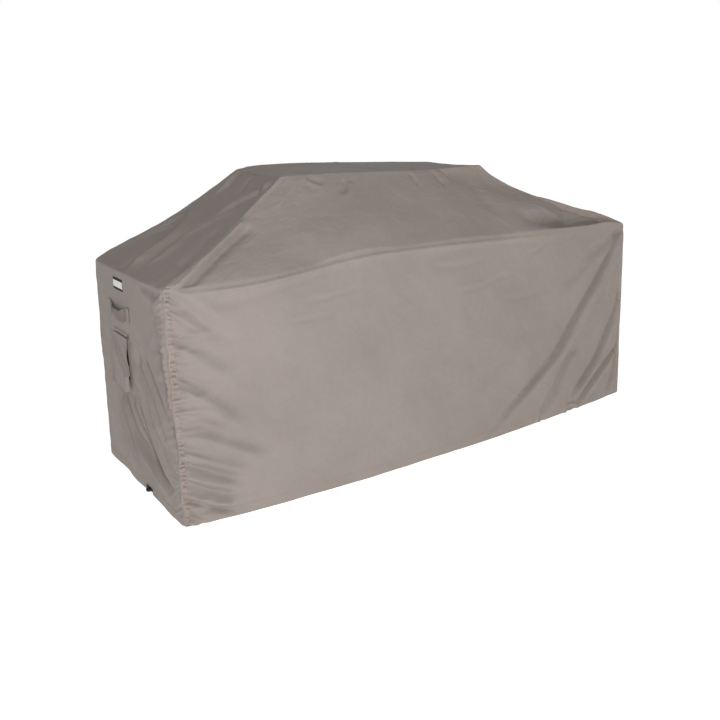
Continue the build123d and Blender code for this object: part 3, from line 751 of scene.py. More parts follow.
# %% Cloth material
THREAD = 0.0014                 # metres from thread to thread, drawn coarse to show


def cloth_material(name, light, dark, weave=0.14, crumple=0.85, roughness=0.74):
    """Woven polyester: two mixed tones, crumples of three sizes, and the weave."""
    material, tree, shader = new_material(name)
    uv = add(tree, "ShaderNodeUVMap", {"uv_map": "cloth"}).outputs[0]
    broad = add(tree, "ShaderNodeTexNoise", Vector=uv, Scale=3.2, Detail=4.0, Roughness=0.6)
    fine = add(tree, "ShaderNodeTexNoise", Vector=uv, Scale=60.0, Detail=3.0, Roughness=0.7)
    blend = add(tree, "ShaderNodeMath", {"operation": "MULTIPLY_ADD"}, Value_0=fine.outputs[0],
                Value_1=0.35, Value_2=broad.outputs[0])
    tone = add(tree, "ShaderNodeMapRange", Value=blend.outputs[0], From_Min=0.48, From_Max=0.86)
    mix = add(tree, "ShaderNodeMix", {"data_type": "RGBA"}, _0=tone.outputs[0],
              _6=colour(dark), _7=colour(light))
    tree.links.new(mix.outputs[2], shader.inputs["Base Color"])
    # packing creases: a stretched net with soft edges, about 110 mm apart
    warp = add(tree, "ShaderNodeTexNoise", Vector=uv, Scale=7.0, Detail=2.0)
    bent = add(tree, "ShaderNodeVectorMath", {"operation": "MULTIPLY_ADD"}, _0=warp.outputs[1],
               _1=(0.05, 0.05, 0.0), _2=uv)
    net = add(tree, "ShaderNodeTexVoronoi", {"feature": "DISTANCE_TO_EDGE"},
              Vector=bent.outputs[0], Scale=9.0)
    crease = add(tree, "ShaderNodeMapRange", Value=net.outputs[0], From_Min=0.0, From_Max=0.10,
                 To_Min=0.0, To_Max=1.0)
    medium = add(tree, "ShaderNodeTexNoise", Vector=uv, Scale=16.0, Detail=4.0, Roughness=0.55,
                 Distortion=0.6)
    bump = add(tree, "ShaderNodeBump", Strength=crumple, Distance=0.004, Height=medium.outputs[0])
    bump = add(tree, "ShaderNodeBump", Strength=crumple * 0.25, Distance=0.0012,
               Height=crease.outputs[0], Normal=bump.outputs[0])
    # the weave: two sets of threads, crossing
    turns = 2 * math.pi / (20 * THREAD)
    warp_thread = add(tree, "ShaderNodeTexWave", {"bands_direction": "X"}, Vector=uv, Scale=turns)
    weft_thread = add(tree, "ShaderNodeTexWave", {"bands_direction": "Y"}, Vector=uv, Scale=turns)
    cross = add(tree, "ShaderNodeMath", {"operation": "MULTIPLY"}, Value_0=warp_thread.outputs[1],
                Value_1=weft_thread.outputs[1])
    bump = add(tree, "ShaderNodeBump", Strength=weave, Distance=0.0004, Height=cross.outputs[0],
               Normal=bump.outputs[0])
    tree.links.new(bump.outputs[0], shader.inputs["Normal"])
    shader.inputs["Roughness"].default_value = roughness
    shader.inputs["Specular IOR Level"].default_value = 0.32
    shader.inputs["Sheen Weight"].default_value = 0.12
    shader.inputs["Sheen Roughness"].default_value = 0.45
    return material


CLOTH = cloth_material("Coated woven polyester, taupe", "#9F9690", "#978E88")
LINING = cloth_material("Uncoated polyester lining, taupe", "#82796F", "#766E66", crumple=0.2)
TAPE = cloth_material("Folded polyester seam tape, taupe", "#A59A93", "#9A8F88", weave=0.2,
                      crumple=0.25)


# %% [markdown]
# ## The five cloth panels
# Each panel becomes one sheet.  The left end has a notch in its hem where the cord
# comes out, and both ends have a square hole behind the vent hood.  Those faces
# are simply left out, because the grid has lines along the cut edges.

# %% Make the four side panels
def hole_mask(side):
    """Which faces of an end panel stay: not those in the vent hole or the notch."""
    grid = PANELS[side]
    centre = (grid[:-1, :-1] + grid[1:, 1:]) / 2
    y, z = centre[..., 1], centre[..., 2]
    keep = ~((y > HOLE_Y[0]) & (y < HOLE_Y[1]) & (z > HOLE_Z[0]) & (z < HOLE_Z[1]))
    if side == "left":
        keep &= ~((np.abs(y - NOTCH_Y) < NOTCH_HALF) & (z < NOTCH_HEIGHT))
    return keep


def run_of(points):
    """Length in mm along a row of points."""
    return float(np.linalg.norm(np.diff(points, axis=0), axis=1).sum())


def cloth_area(grid):
    """Area in square metres of a grid in mm."""
    diagonals = np.cross(grid[1:, 1:] - grid[:-1, :-1], grid[1:, :-1] - grid[:-1, 1:])
    return float(np.linalg.norm(diagonals, axis=2).sum() / 2 * MM * MM)


NODE_OF = {"front": "front_panel", "back": "back_panel", "left": "left_end_panel",
           "right": "right_end_panel"}
for side in SIDES:
    mask = hole_mask(side) if side in ("left", "right") else None
    panel = grid_mesh(f"{side}_cloth", PANELS[side], CLOTH, keep=mask)
    sew_on(panel, NODE_OF[side], "coated_cloth")
    bare = bare_panel(side)
    hem_run = run_of(bare[0]) * MM
    height = run_of(bare[:, bare.shape[1] // 2]) * MM
    area = min(cloth_area(bare), hem_run * height)
    print(side, "cut from", round(hem_run, 2), "by", round(height, 2), "m, area", round(area, 2))


# %% [markdown]
# ## Finding a place on the cloth
# Everything that is sewn on has to follow the cloth under it.  Two helpers give
# points at a small distance outside the cloth, with whole arrays: one by grid
# position, and one by real place on an end wall.

# %% Places on the cloth
def sample(grid, across_knots, up_knots, a, level):
    """Values of a grid between its lines, blended from the four corners of a cell."""
    col = np.interp(a, across_knots, np.arange(len(across_knots)))
    row = np.interp(level, up_knots, np.arange(len(up_knots)))
    c = np.minimum(col.astype(int), len(across_knots) - 2)
    r = np.minimum(row.astype(int), len(up_knots) - 2)
    fc, fr = (col - c)[..., None], (row - r)[..., None]
    return ((grid[r, c] * (1 - fc) + grid[r, c + 1] * fc) * (1 - fr)
            + (grid[r + 1, c] * (1 - fc) + grid[r + 1, c + 1] * fc) * fr)


def on_panel(side, a, level, off=0.0):
    """Points in mm at grid place (a, level) of a side, off mm outside the cloth."""
    a, level, off = np.broadcast_arrays(a, level, off)
    normal = sample(NORMALS[side], COLUMNS[side], ROWS, a, level)
    return sample(PANELS[side], COLUMNS[side], ROWS, a, level) + normal * off[..., None]


def on_end(side, y, z, off=0.0):
    """Points on an end wall at a real y and z, off mm outside the cloth."""
    level = np.asarray(z) / EAVE_Z
    half = HEM_Y[1] + (EAVE_Y - HEM_Y[1]) * level
    a = 0.5 - np.asarray(y) / (2 * half) if side == "left" else 0.5 + np.asarray(y) / (2 * half)
    return on_panel(side, a, level, off)


# %% [markdown]
# ## The flat top
# The top is a rectangle of cloth sewn to all four slopes.  A patch between four
# edges (a Coons patch) gives its bare shape: blend the two long edges, blend the
# two short edges, add them, and take away the blend of the corners, which was
# counted twice.  It is fuller than its frame, so it crowns a little.

# %% The top's surface
def rim_of(side, a):
    """A side's rim at the given places, from its finished panel."""
    return np.stack([np.interp(a, COLUMNS[side], PANELS[side][-1, :, k]) for k in range(3)],
                    axis=1)


TOP_FOLDS = [
    ([(-478, 210), (-452, 196), (-425, 200)], 9, 3.5, -0.6),
    ([(-480, 120), (-455, 118), (-430, 126)], 8, 2.5, -0.6),
    ([(-480, 40), (-450, 36), (-420, 44)], 8, 2.5, -0.6),
    ([(-470, 232), (-380, 205), (-240, 196)], 16, 4.0, -0.5),
    ([(-380, -60), (-372, -30), (-380, 10)], 8, 2.2, -0.6),
    ([(-150, -62), (-160, -30), (-150, 4)], 9, 2.0, -0.6),
    ([(90, -60), (98, -28), (90, 10)], 8, 2.4, -0.6),
    ([(210, -62), (204, -35), (212, -8)], 8, 2.0, -0.6),
    ([(380, 200), (300, 170), (180, 168)], 16, 3.0, -0.5),
    ([(-40, 236), (-60, 190), (-40, 150)], 12, -2.6, -0.5),
]
TOP_UP = 1 - COLUMNS["left"][::-1]
u, v = COLUMNS["front"][None, :, None], TOP_UP[:, None, None]
front_rim, back_rim = rim_of("front", u.ravel()), rim_of("back", 1 - u.ravel())
left_rim, right_rim = rim_of("left", 1 - v.ravel()), rim_of("right", v.ravel())
TOP = ((1 - v) * front_rim[None] + v * back_rim[None]
       + (1 - u) * left_rim[:, None] + u * right_rim[:, None]
       - (1 - u) * (1 - v) * front_rim[0] - u * (1 - v) * front_rim[-1]
       - (1 - u) * v * back_rim[0] - u * v * back_rim[-1])
plan = TOP[..., :2]
rise = 7.5 * np.sin(math.pi * u[..., 0]) ** 0.6 * np.sin(math.pi * v[..., 0])
rise = rise + 5.0 * np.exp(-((plan[..., 0] + 420) / 70) ** 2 - ((plan[..., 1] - 195) / 40) ** 2)
rise = rise + lumps(plan, (240, 130, 80), 1.5, 77)
for path, width, height, trough in TOP_FOLDS:
    rise = rise + fold(plan, path, width, height, trough)
inside = np.minimum(np.minimum(plan[..., 0] - RIM_LOW[0], RIM_HIGH[0] - plan[..., 0]),
                    np.minimum(plan[..., 1] - RIM_LOW[1], RIM_HIGH[1] - plan[..., 1]))
TOP[..., 2] += rise * np.clip(inside / 14, 0, 1) ** 1.2
TOP_NORMAL = outward(TOP)
top_cloth = grid_mesh("top_cloth", TOP, CLOTH)
sew_on(top_cloth, "top_panel", "coated_cloth")
round(run_of(front_rim) * MM, 3)
round(run_of(right_rim) * MM, 3)
print("top crowns to", round(float(TOP[..., 2].max())), "mm")


# %% [markdown]
# ## Seam tapes
# Every corner is covered by a folded tape, sewn down along both edges.  It is a
# strip carried along the seam: a short profile across, with a dent where each row
# of stitches pulls it in, and small ladder-like ripples along it where the thread
# has shortened the cloth.  Below the eave it is full; on the hips it lies flatter.

# %% Tape up each corner
TAPE_ACROSS = np.array([-0.5, 0.8, 2.5, 4.5, 6.0, 8.5, 11.0, 13.5, 16.0, 17.5, 19.5, 21.2, 22.5])
STITCH_COLUMNS = (4, 8)         # the dents in the profile, where the stitches lie
LADDER_PITCH = 13.0             # mm from ripple to ripple
TAPE_PROFILE = np.array([-0.6, 0.9, 1.9, 1.9, 1.3, 2.1, 2.4, 2.1, 1.3, 1.8, 1.7, 0.7, -0.5])
TAPE_ROWS = np.concatenate([np.linspace(1.2 / EAVE_Z, 1, 471),
                            1 + np.linspace(0, 0.994, 150)[1:]])


def ladder(length_along, seed, pitch):
    """Ripples along a gathered tape: a wave whose pitch and height drift."""
    drift = wander(length_along, (170, 95, 61), 1.4, seed)
    swell = 0.65 + 0.35 * np.sin(length_along / 41 + seed)
    return np.sin(2 * math.pi * length_along / pitch + drift) * swell


def tape_strip(side, from_left, seed, fullness):
    """The tape's grid on one end of a side: rows along the seam, columns across it."""
    row_length = np.linalg.norm(np.diff(PANELS[side], axis=1), axis=2).sum(1)
    share = TAPE_ACROSS[None] / np.interp(TAPE_ROWS, ROWS, row_length)[:, None]
    a = np.clip(share if from_left else 1 - share, 0, 1)
    on_hip = np.clip((TAPE_ROWS - 1) * 14, 0, 1)[:, None]
    along = (TAPE_ROWS * EAVE_Z)[:, None]
    swell = np.sin(math.pi * np.linspace(0, 1, len(TAPE_ACROSS)))[None]
    ripple = fullness * ladder(along, seed, LADDER_PITCH) * swell
    off = TAPE_PROFILE[None] * (1.15 - 0.30 * on_hip) + ripple * (1 - 0.85 * on_hip)
    level = np.broadcast_to(TAPE_ROWS[:, None], a.shape)
    grid = on_panel(side, a, level, off)
    return grid if from_left else grid[:, ::-1]


SEAM_TAPES = {}
for name, side, from_left, seed, fullness in (
        ("front_left", "front", True, 3, 3.0), ("front_right", "front", False, 4, 0.9),
        ("back_left", "back", False, 5, 0.6), ("back_right", "back", True, 6, 0.6)):
    grid = tape_strip(side, from_left, seed, fullness)
    SEAM_TAPES[name] = grid
    tape = grid_mesh(f"{name}_tape", grid, TAPE)
    sew_on(tape, f"{name}_seam_binding", "seam_tape")
    seam_length = run_of(grid[:, 6])
    print(name, "tape", round(seam_length), "mm long")

# %% Tape round the top
TOP_TAPE = np.array([0.4, 2.0, 4.0, 7.0, 10.0, 12.0, 13.6])
TOP_TAPE_OFF = np.array([-0.5, 1.0, 1.0, 1.3, 1.0, 1.0, -0.5])


def ring_path(low, high, step):
    """Points round a rectangle in plan, anticlockwise from its low corner."""
    (x0, y0), (x1, y1) = low, high
    corners = [(x0, y0), (x1, y0), (x1, y1), (x0, y1), (x0, y0)]
    parts = []
    for start, end in zip(corners, corners[1:]):
        count = max(2, round(math.dist(start, end) / step))
        t = np.linspace(0, 1, count, endpoint=False)[:, None]
        parts.append(np.array(start) * (1 - t) + np.array(end) * t)
    return np.concatenate(parts)


def on_top(x_share, y_share, off):
    """Points on the top at shares of its length and depth, off mm above it."""
    normal = sample(TOP_NORMAL, COLUMNS["front"], TOP_UP, x_share, y_share)
    return sample(TOP, COLUMNS["front"], TOP_UP, x_share, y_share) + normal * off[..., None]


TOP_SIZE = RIM_HIGH[:2] - RIM_LOW[:2]
outer = ring_path((0, 0), TOP_SIZE, 6.0)
centre = TOP_SIZE / 2
inward = 1 - 2 * TOP_TAPE[:, None, None] / TOP_SIZE
ring = (centre + (outer - centre)[None] * inward) / TOP_SIZE
ripple = 0.35 * ladder(np.arange(len(outer)) * 6.0, 9, 21.0)
top_ring = on_top(ring[..., 0], ring[..., 1], TOP_TAPE_OFF[:, None] + ripple[None] * 0.8)
top_tape = grid_mesh("top_tape", top_ring, TAPE, wrap=(False, True))
sew_on(top_tape, "top_seam_binding", "seam_tape")


# %% [markdown]
# ## The hem casings
# The drawcord runs in a tunnel: a strip of lining sewn to the inside of the wall,
# along its top and its foot.  From below, it looks like a soft tube.  Its profile
# hangs a little fuller than the cord needs, and wrinkles where the cord has been
# pulled.

# %% Casing strips
CASING_OFF = np.array([-0.4, -2.6, -6.0, -9.4, -10.6, -10.4, -8.4, -5.0, -2.0, -0.4])
CASING_Z = np.array([1.4, 0.9, 1.0, 3.4, 9.0, 17.0, 25.0, 31.0, 33.6, 35.0])


def casing_strip(side, a_low, a_high):
    """The casing's grid: its profile (inside the wall, above ground) along the hem."""
    length = run_of(PANELS[side][0]) * (a_high - a_low)
    a = np.linspace(a_low, a_high, max(12, int(length / 9)))[None]
    eave = np.interp(a, COLUMNS[side], PANELS[side][EAVE_ROW, :, 2])
    level = CASING_Z[:, None] / eave
    wrinkle = 0.5 * ladder(a * length / (a_high - a_low), 12, 26.0)
    off = CASING_OFF[:, None] + wrinkle * np.sin(math.pi * np.linspace(0, 1, 10))[:, None]
    grid = on_panel(side, np.broadcast_to(a, off.shape), level, off)
    grid[..., 2] = np.maximum(grid[..., 2], 0.6)
    return grid


CORNER_GAP = 46.0               # mm of open hem at each corner, where the cord turns
depth, long_side = HEM_Y[1] - HEM_Y[0], HEM_X[1] - HEM_X[0]
notch_a = 0.5 - NOTCH_Y / depth
gap_long, gap_end = CORNER_GAP / long_side, CORNER_GAP / depth
for name, side, low, high in (
        ("front_hem_casing", "front", gap_long, 1 - gap_long),
        ("back_hem_casing", "back", gap_long, 1 - gap_long),
        ("right_hem_casing", "right", gap_end, 1 - gap_end),
        ("left_rear_hem_casing", "left", gap_end, notch_a - NOTCH_HALF / depth),
        ("left_front_hem_casing", "left", notch_a + NOTCH_HALF / depth, 1 - gap_end)):
    grid = casing_strip(side, low, high)
    piece = grid_mesh(name.replace("hem_casing", "casing"), grid, LINING)
    sew_on(piece, name, "casing_cloth")
    round(run_of(grid[5]) * MM, 3)
    round(run_of(grid[:, 1]) * MM, 3)


# %% [markdown]
# ## The drawcord
# A braided cord, 4 mm thick, goes once round the hem inside the casings and comes
# out in the notch, where both its ends pass the cord lock one above the other.
# It is a round tube carried along its path.  The braid is four waves round it each
# way that cross, so its surface is a diamond pattern of small swellings.

# %% The cord's path
LOCK_CENTRE = (box_mm("cord_lock_barrel")[0] + box_mm("cord_lock_barrel")[1]) / 2
UPPER_END, LOWER_END = ((low + high) / 2 for low, high in
                        (box_mm("upper_cord_end"), box_mm("lower_cord_end")))
CORD_X, CORD_Z, CORD_INSET, CORD_RADIUS = UPPER_END[0], LOCK_CENTRE[2], 6.8, 2.0


def hem_run(side, start, end, count):
    """Points inside the hem at the cord's height, between two places of a side."""
    a = np.linspace(start, end, count)
    eave = np.interp(a, COLUMNS[side], PANELS[side][EAVE_ROW, :, 2])
    return on_panel(side, a, CORD_Z / eave, -CORD_INSET)


def cord_path():
    """The cord's line: out of the lock, once round the hem, and back to it."""
    x, up, low = CORD_X, UPPER_END[2], LOWER_END[2]
    start = np.array([(x, UPPER_END[1], up), (x, NOTCH_Y, up), (x, NOTCH_Y + 20, up)])
    end = np.array([(x, NOTCH_Y - 20, low), (x, NOTCH_Y, low), (x, LOWER_END[1], low)])
    gap_d, gap_l = 40 / depth, 40 / long_side
    parts = [start, hem_run("left", notch_a - 50 / depth, gap_d, 40),
             hem_run("back", 1 - gap_l, gap_l, 150), hem_run("right", 1 - gap_d, gap_d, 50),
             hem_run("front", 1 - gap_l, gap_l, 150),
             hem_run("left", 1 - gap_d, notch_a + 50 / depth, 40), end]
    return np.concatenate(parts)


def even_run(points, step, smoothing):
    """The same line with points a step apart, its corners rounded by averaging."""
    length = np.concatenate([[0], np.cumsum(np.linalg.norm(np.diff(points, axis=0), axis=1))])
    at = np.linspace(0, length[-1], int(length[-1] / step) + 1)
    line = np.stack([np.interp(at, length, points[:, k]) for k in range(3)], axis=1)
    for _ in range(smoothing):
        line[1:-1] = (line[:-2] + 2 * line[1:-1] + line[2:]) / 4
    return line


def tube(line, radius, sides):
    """A tube's grid: rings round a line, the ring's frame kept near upright."""
    ahead = np.gradient(line, axis=0)
    ahead /= np.linalg.norm(ahead, axis=1, keepdims=True)
    side = np.cross(ahead, (0, 0, 1.0))
    side /= np.linalg.norm(side, axis=1, keepdims=True)
    up = np.cross(side, ahead)
    turn = np.linspace(0, 2 * math.pi, sides, endpoint=False)[None, :, None]
    return line[:, None] + np.asarray(radius)[..., None] * (
        np.cos(turn) * side[:, None] + np.sin(turn) * up[:, None])


CORD_STEP = 4.0                 # mm from ring to ring
CORD_LINE = even_run(cord_path(), CORD_STEP, 6)
cord_length = run_of(CORD_LINE)
turn = np.linspace(0, 2 * math.pi, 16, endpoint=False)[None]
place = np.arange(len(CORD_LINE))[:, None] * CORD_STEP
braid = 0.12 * np.sin(4 * turn + place / 1.7) * np.sin(4 * turn - place / 1.7)
CORD_GRID = tube(CORD_LINE, CORD_RADIUS * 0.97 + braid, 16)
print("drawcord", round(cord_length), "mm long")

# %% Cord material and the cord itself
def braid_material():
    """Braided polyester cord, dyed black: soft diamonds, a faint thread sheen."""
    material, tree, shader = new_material("Braided polyester cord, black")
    uv = add(tree, "ShaderNodeUVMap", {"uv_map": "cloth"}).outputs[0]
    pitch = 2 * math.pi / (20 * 0.0022)         # strands cross every 2.2 mm
    lay = [add(tree, "ShaderNodeMapping", Vector=uv, Rotation=(0, 0, angle)).outputs[0]
           for angle in (0.72, -0.72)]
    strands = [add(tree, "ShaderNodeTexWave", Vector=way, Scale=pitch).outputs[1] for way in lay]
    cross = add(tree, "ShaderNodeMath", {"operation": "MAXIMUM"}, Value_0=strands[0],
                Value_1=strands[1])
    mix = add(tree, "ShaderNodeMix", {"data_type": "RGBA"}, _0=cross.outputs[0],
              _6=colour("#17161A"), _7=colour("#34323A"))
    bump = add(tree, "ShaderNodeBump", Strength=0.5, Distance=0.0004, Height=cross.outputs[0])
    tree.links.new(mix.outputs[2], shader.inputs["Base Color"])
    tree.links.new(bump.outputs[0], shader.inputs["Normal"])
    shader.inputs["Roughness"].default_value = 0.7
    shader.inputs["Sheen Weight"].default_value = 0.2
    return material


cord = grid_mesh("braided_drawcord", CORD_GRID[:, ::-1], braid_material(), wrap=(False, True))
sew_on(cord, "drawcord", "drawcord")


# %% [markdown]
# ## Webbing, patches, mesh and tape for the ends
# The handle is a length of woven webbing with ribs across it.  The vent is closed
# by a coarse dark net.  The flap is held shut by hook and loop tape, which looks
# like a dark, matte, fuzzy strip.  Each of these gets its own material, and its
# pattern lies in the piece's own flat coordinates.

# %% Materials of the fittings
def ribbed_material(name, light, dark, rib, direction, strength=0.6, roughness=0.75):
    """Woven webbing or net: ribs at a real spacing, and uneven dye."""
    material, tree, shader = new_material(name)
    uv = add(tree, "ShaderNodeUVMap", {"uv_map": "cloth"}).outputs[0]
    turns = 2 * math.pi / (20 * rib)
    ribs = add(tree, "ShaderNodeTexWave", {"bands_direction": direction}, Vector=uv, Scale=turns)
    cross = add(tree, "ShaderNodeTexWave", {"bands_direction": "Y" if direction == "X" else "X"},
                Vector=uv, Scale=turns * 0.5)
    height = add(tree, "ShaderNodeMath", {"operation": "MULTIPLY_ADD"}, Value_0=cross.outputs[1],
                 Value_1=0.35, Value_2=ribs.outputs[1])
    dye = add(tree, "ShaderNodeTexNoise", Vector=uv, Scale=45.0, Detail=4.0)
    tone = add(tree, "ShaderNodeMath", {"operation": "MULTIPLY_ADD"}, Value_0=height.outputs[0],
               Value_1=0.4, Value_2=dye.outputs[0])
    shade = add(tree, "ShaderNodeMapRange", Value=tone.outputs[0], From_Min=0.35, From_Max=1.0)
    mix = add(tree, "ShaderNodeMix", {"data_type": "RGBA"}, _0=shade.outputs[0],
              _6=colour(dark), _7=colour(light))
    bump = add(tree, "ShaderNodeBump", Strength=strength, Distance=0.0005,
               Height=height.outputs[0])
    tree.links.new(mix.outputs[2], shader.inputs["Base Color"])
    tree.links.new(bump.outputs[0], shader.inputs["Normal"])
    shader.inputs["Roughness"].default_value = roughness
    shader.inputs["Specular IOR Level"].default_value = 0.3
    return material


WEBBING = ribbed_material("Woven polypropylene webbing, taupe", "#968B83", "#7E746D", 0.0020, "X")
NET = ribbed_material("Coated polyester vent net, dark", "#6A615A", "#37322F", 0.0030, "X", 0.9)
HOOK = ribbed_material("Nylon hook tape, taupe", "#6A625B", "#4A443F", 0.0016, "X", 1.0, 0.85)
LOOP = ribbed_material("Nylon loop tape, taupe", "#726A63", "#57504A", 0.0013, "Y", 0.8, 0.95)
THREAD_MATERIAL = ribbed_material("Bonded polyester thread, pale taupe", "#A79E96", "#958C84",
                                  0.0010, "X", 0.3, 0.6)


# %% [markdown]
# ## Stitches
# A lockstitch shows as a row of short, plump dashes.  One spindle of sixteen
# points stands for a stitch, and arrays copy it along a line: the line's own
# direction and the cloth's normal turn each copy.

# %% A row of stitches
SPINDLE_T = np.array([-0.5, -0.3, 0.3, 0.5])
SPINDLE_R = np.array([0.25, 1.0, 1.0, 0.25])


def stitches(name, lines, pitch=6.5, length=4.6, radius=0.55):
    """One mesh of stitches along lines of points (in mm) with their normals."""
    points, faces = [], []
    for line, normal in lines:
        run = np.concatenate([[0], np.cumsum(np.linalg.norm(np.diff(line, axis=0), axis=1))])
        at = np.arange(pitch / 2, run[-1], pitch)
        place = np.stack([np.interp(at, run, line[:, k]) for k in range(3)], axis=1)
        ahead = np.stack([np.interp(at + 1, run, line[:, k]) for k in range(3)], axis=1) - place
        ahead /= np.maximum(np.linalg.norm(ahead, axis=1, keepdims=True), 1e-9)
        up = np.stack([np.interp(at, run, normal[:, k]) for k in range(3)], axis=1)
        side = np.cross(ahead, up)
        side /= np.maximum(np.linalg.norm(side, axis=1, keepdims=True), 1e-9)
        up = np.cross(side, ahead)
        turn = np.array([0, 0.5, 1.0, 1.5]) * math.pi + math.pi / 4
        ring = SPINDLE_R[:, None] * radius
        spindle = (place[:, None, None] + ahead[:, None, None] * (SPINDLE_T * length)[:, None, None]
                   + side[:, None, None] * (ring * np.cos(turn))[..., None]
                   + up[:, None, None] * (ring * np.sin(turn))[..., None])
        base = 16 * (np.arange(len(at)) + sum(len(p) for p in points) // 16)[:, None, None]
        k, j = np.arange(3)[:, None], np.arange(4)[None]
        sides = np.stack([4 * k + j, 4 * k + (j + 1) % 4, 4 * k + 4 + (j + 1) % 4,
                          4 * k + 4 + j], -1)
        quads = np.concatenate([sides.reshape(-1, 4), [[3, 2, 1, 0], [12, 13, 14, 15]]])
        points.append(spindle.reshape(-1, 3))
        faces.append((quads[None] + base).reshape(-1, 4))
    points, faces = np.concatenate(points) * MM, np.concatenate(faces)
    piece = mesh_object(name, points, faces, THREAD_MATERIAL, points[:, :2])
    piece.data.flip_normals()
    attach(piece, "cover")
    print(name, len(faces) // 14, "stitches")


def normals_along(grid, index):
    """A strip's line of points and normals at one column."""
    return grid[:, index], outward(grid)[:, index]


# %% Stitch the seams and the hem
seam_lines = []
for grid in SEAM_TAPES.values():
    for column in STITCH_COLUMNS:
        seam_lines.append(normals_along(grid, column))
stitches("seam_stitches", seam_lines)
HEM_STITCH_Z = 30.0             # mm above ground
hem_lines = []
for side in SIDES:
    a = np.linspace(0.012, 0.988, 700 if side in ("front", "back") else 240)
    eave = np.interp(a, COLUMNS[side], PANELS[side][EAVE_ROW, :, 2])
    line = on_panel(side, a, HEM_STITCH_Z / eave, 0.25)
    hem_lines.append((line, on_panel(side, a, HEM_STITCH_Z / eave, 1.25) - line))
stitches("hem_stitches", hem_lines)
ring_normal = outward(top_ring)
top_lines = [(np.concatenate([top_ring[row], top_ring[row, :1]]),
              np.concatenate([ring_normal[row], ring_normal[row, :1]])) for row in (2, 4)]
stitches("top_stitches", top_lines)


# %% [markdown]
# ## The handles
# A handle is webbing laid flat on the wall at both ends and bridging a hand's
# width between them.  Cloth weight pulls its middle down, so the upper edge stands
# further out than the lower one.  Its line is the frame's own: flat, a ramp, a
# straight middle, a ramp, flat.

# %% Handles and their patches
def smooth_step(t):
    """0 to 1 with flat ends."""
    t = np.clip(t, 0, 1)
    return t * t * (3 - 2 * t)


def thicken(piece, thickness, bevel=0.0):
    """Gives a sheet its real thickness, outwards, and softens its edges."""
    solid = piece.modifiers.new("Thickness", "SOLIDIFY")
    solid.thickness, solid.offset = thickness * MM, 1.0
    if bevel:
        edge_round = piece.modifiers.new("Soft edge", "BEVEL")
        edge_round.width, edge_round.segments = bevel * MM, 2
        edge_round.limit_method, edge_round.angle_limit = "ANGLE", math.radians(50)


def end_grid(side, y, z, off):
    """A grid on an end wall from y, z and off arrays, faces outwards on both ends."""
    grid = on_end(side, y, z, off)
    return grid if side == "left" else grid[:, ::-1]


HANDLE_LOW, HANDLE_HIGH = box_mm("left_handle")
HANDLE_MIDDLE_Y = (HANDLE_LOW[1] + HANDLE_HIGH[1]) / 2
HANDLE_MIDDLE_Z = (HANDLE_LOW[2] + HANDLE_HIGH[2]) / 2
HANDLE_HALF = (HANDLE_HIGH[1] - HANDLE_LOW[1]) / 2
WEB_WIDTH, WEB_THICK, STANDOFF, TAB, RAMP = 40.0, 2.2, 12.0, 22.0, 40.0

for side in ("left", "right"):
    y = HANDLE_MIDDLE_Y + np.linspace(HANDLE_HALF, -HANDLE_HALF, 91)[None]
    across = np.linspace(-0.5, 0.5, 17)[:, None]
    lift = smooth_step((HANDLE_HALF - TAB - np.abs(y - HANDLE_MIDDLE_Y)) / RAMP)
    lean = 0.5 + 0.8 * across
    off = 0.5 + STANDOFF * lift * lean + 0.5 * np.sin(y / 7) * lift
    z = HANDLE_MIDDLE_Z + WEB_WIDTH * across * (1 - 0.03 * lift) - 13.0 * lift ** 1.5
    webbing = grid_mesh(f"{side}_handle_webbing", end_grid(side, y, z, off), WEBBING)
    sew_on(webbing, f"{side}_handle", "webbing")
    thicken(webbing, WEB_THICK, 0.6)
    for end in ("front", "rear"):
        low, high = box_mm(f"{side}_handle_{end}_patch")
        y = np.linspace(high[1], low[1], 13)[None]
        z = np.linspace(low[2], high[2], 25)[:, None]
        dome = 0.35 * np.sin(math.pi * np.linspace(0, 1, 13))[None]
        patch = grid_mesh(f"{side}_handle_{end}_tack", end_grid(side, y, z, 2.8 + dome), TAPE)
        sew_on(patch, f"{side}_handle_{end}_patch", "webbing")
        thicken(patch, 1.1, 0.4)
        flat_size(low, high)


# %% [markdown]
# ## The vents
# A square hole lets steam out.  Net is sewn behind it, tape binds its edge, and a
# hood of cloth hangs over it from a sewn header.  The hood was packed folded, so a
# crease runs from its upper rear corner to its lower front corner; the part in
# front of the crease has sunk in, and the edges are turned and sewn.

# %% Net and binding
EDGE_TAPE_ACROSS = (-1.2, -0.4, 1.2, 5.0, 8.6, 9.8, 10.2)   # mm out from the hole's edge
EDGE_TAPE_OFF = (-1.0, 0.8, 1.4, 1.5, 1.4, 0.8, -0.4)       # mm off the wall


def rectangle_ring(low, high, widths, offs, side, step=4.0):
    """A flat tape round a rectangle on an end wall: its profile carried round it."""
    inner = ring_path(low, high, step)
    middle = (np.array(low) + np.array(high)) / 2
    half = (np.array(high) - np.array(low)) / 2
    grow = 1 + np.array(widths)[:, None, None] / half
    path = middle + (inner - middle)[None] * grow
    grid = on_end(side, path[..., 0], path[..., 1], np.array(offs)[:, None])
    return grid if side == "right" else grid[:, ::-1]


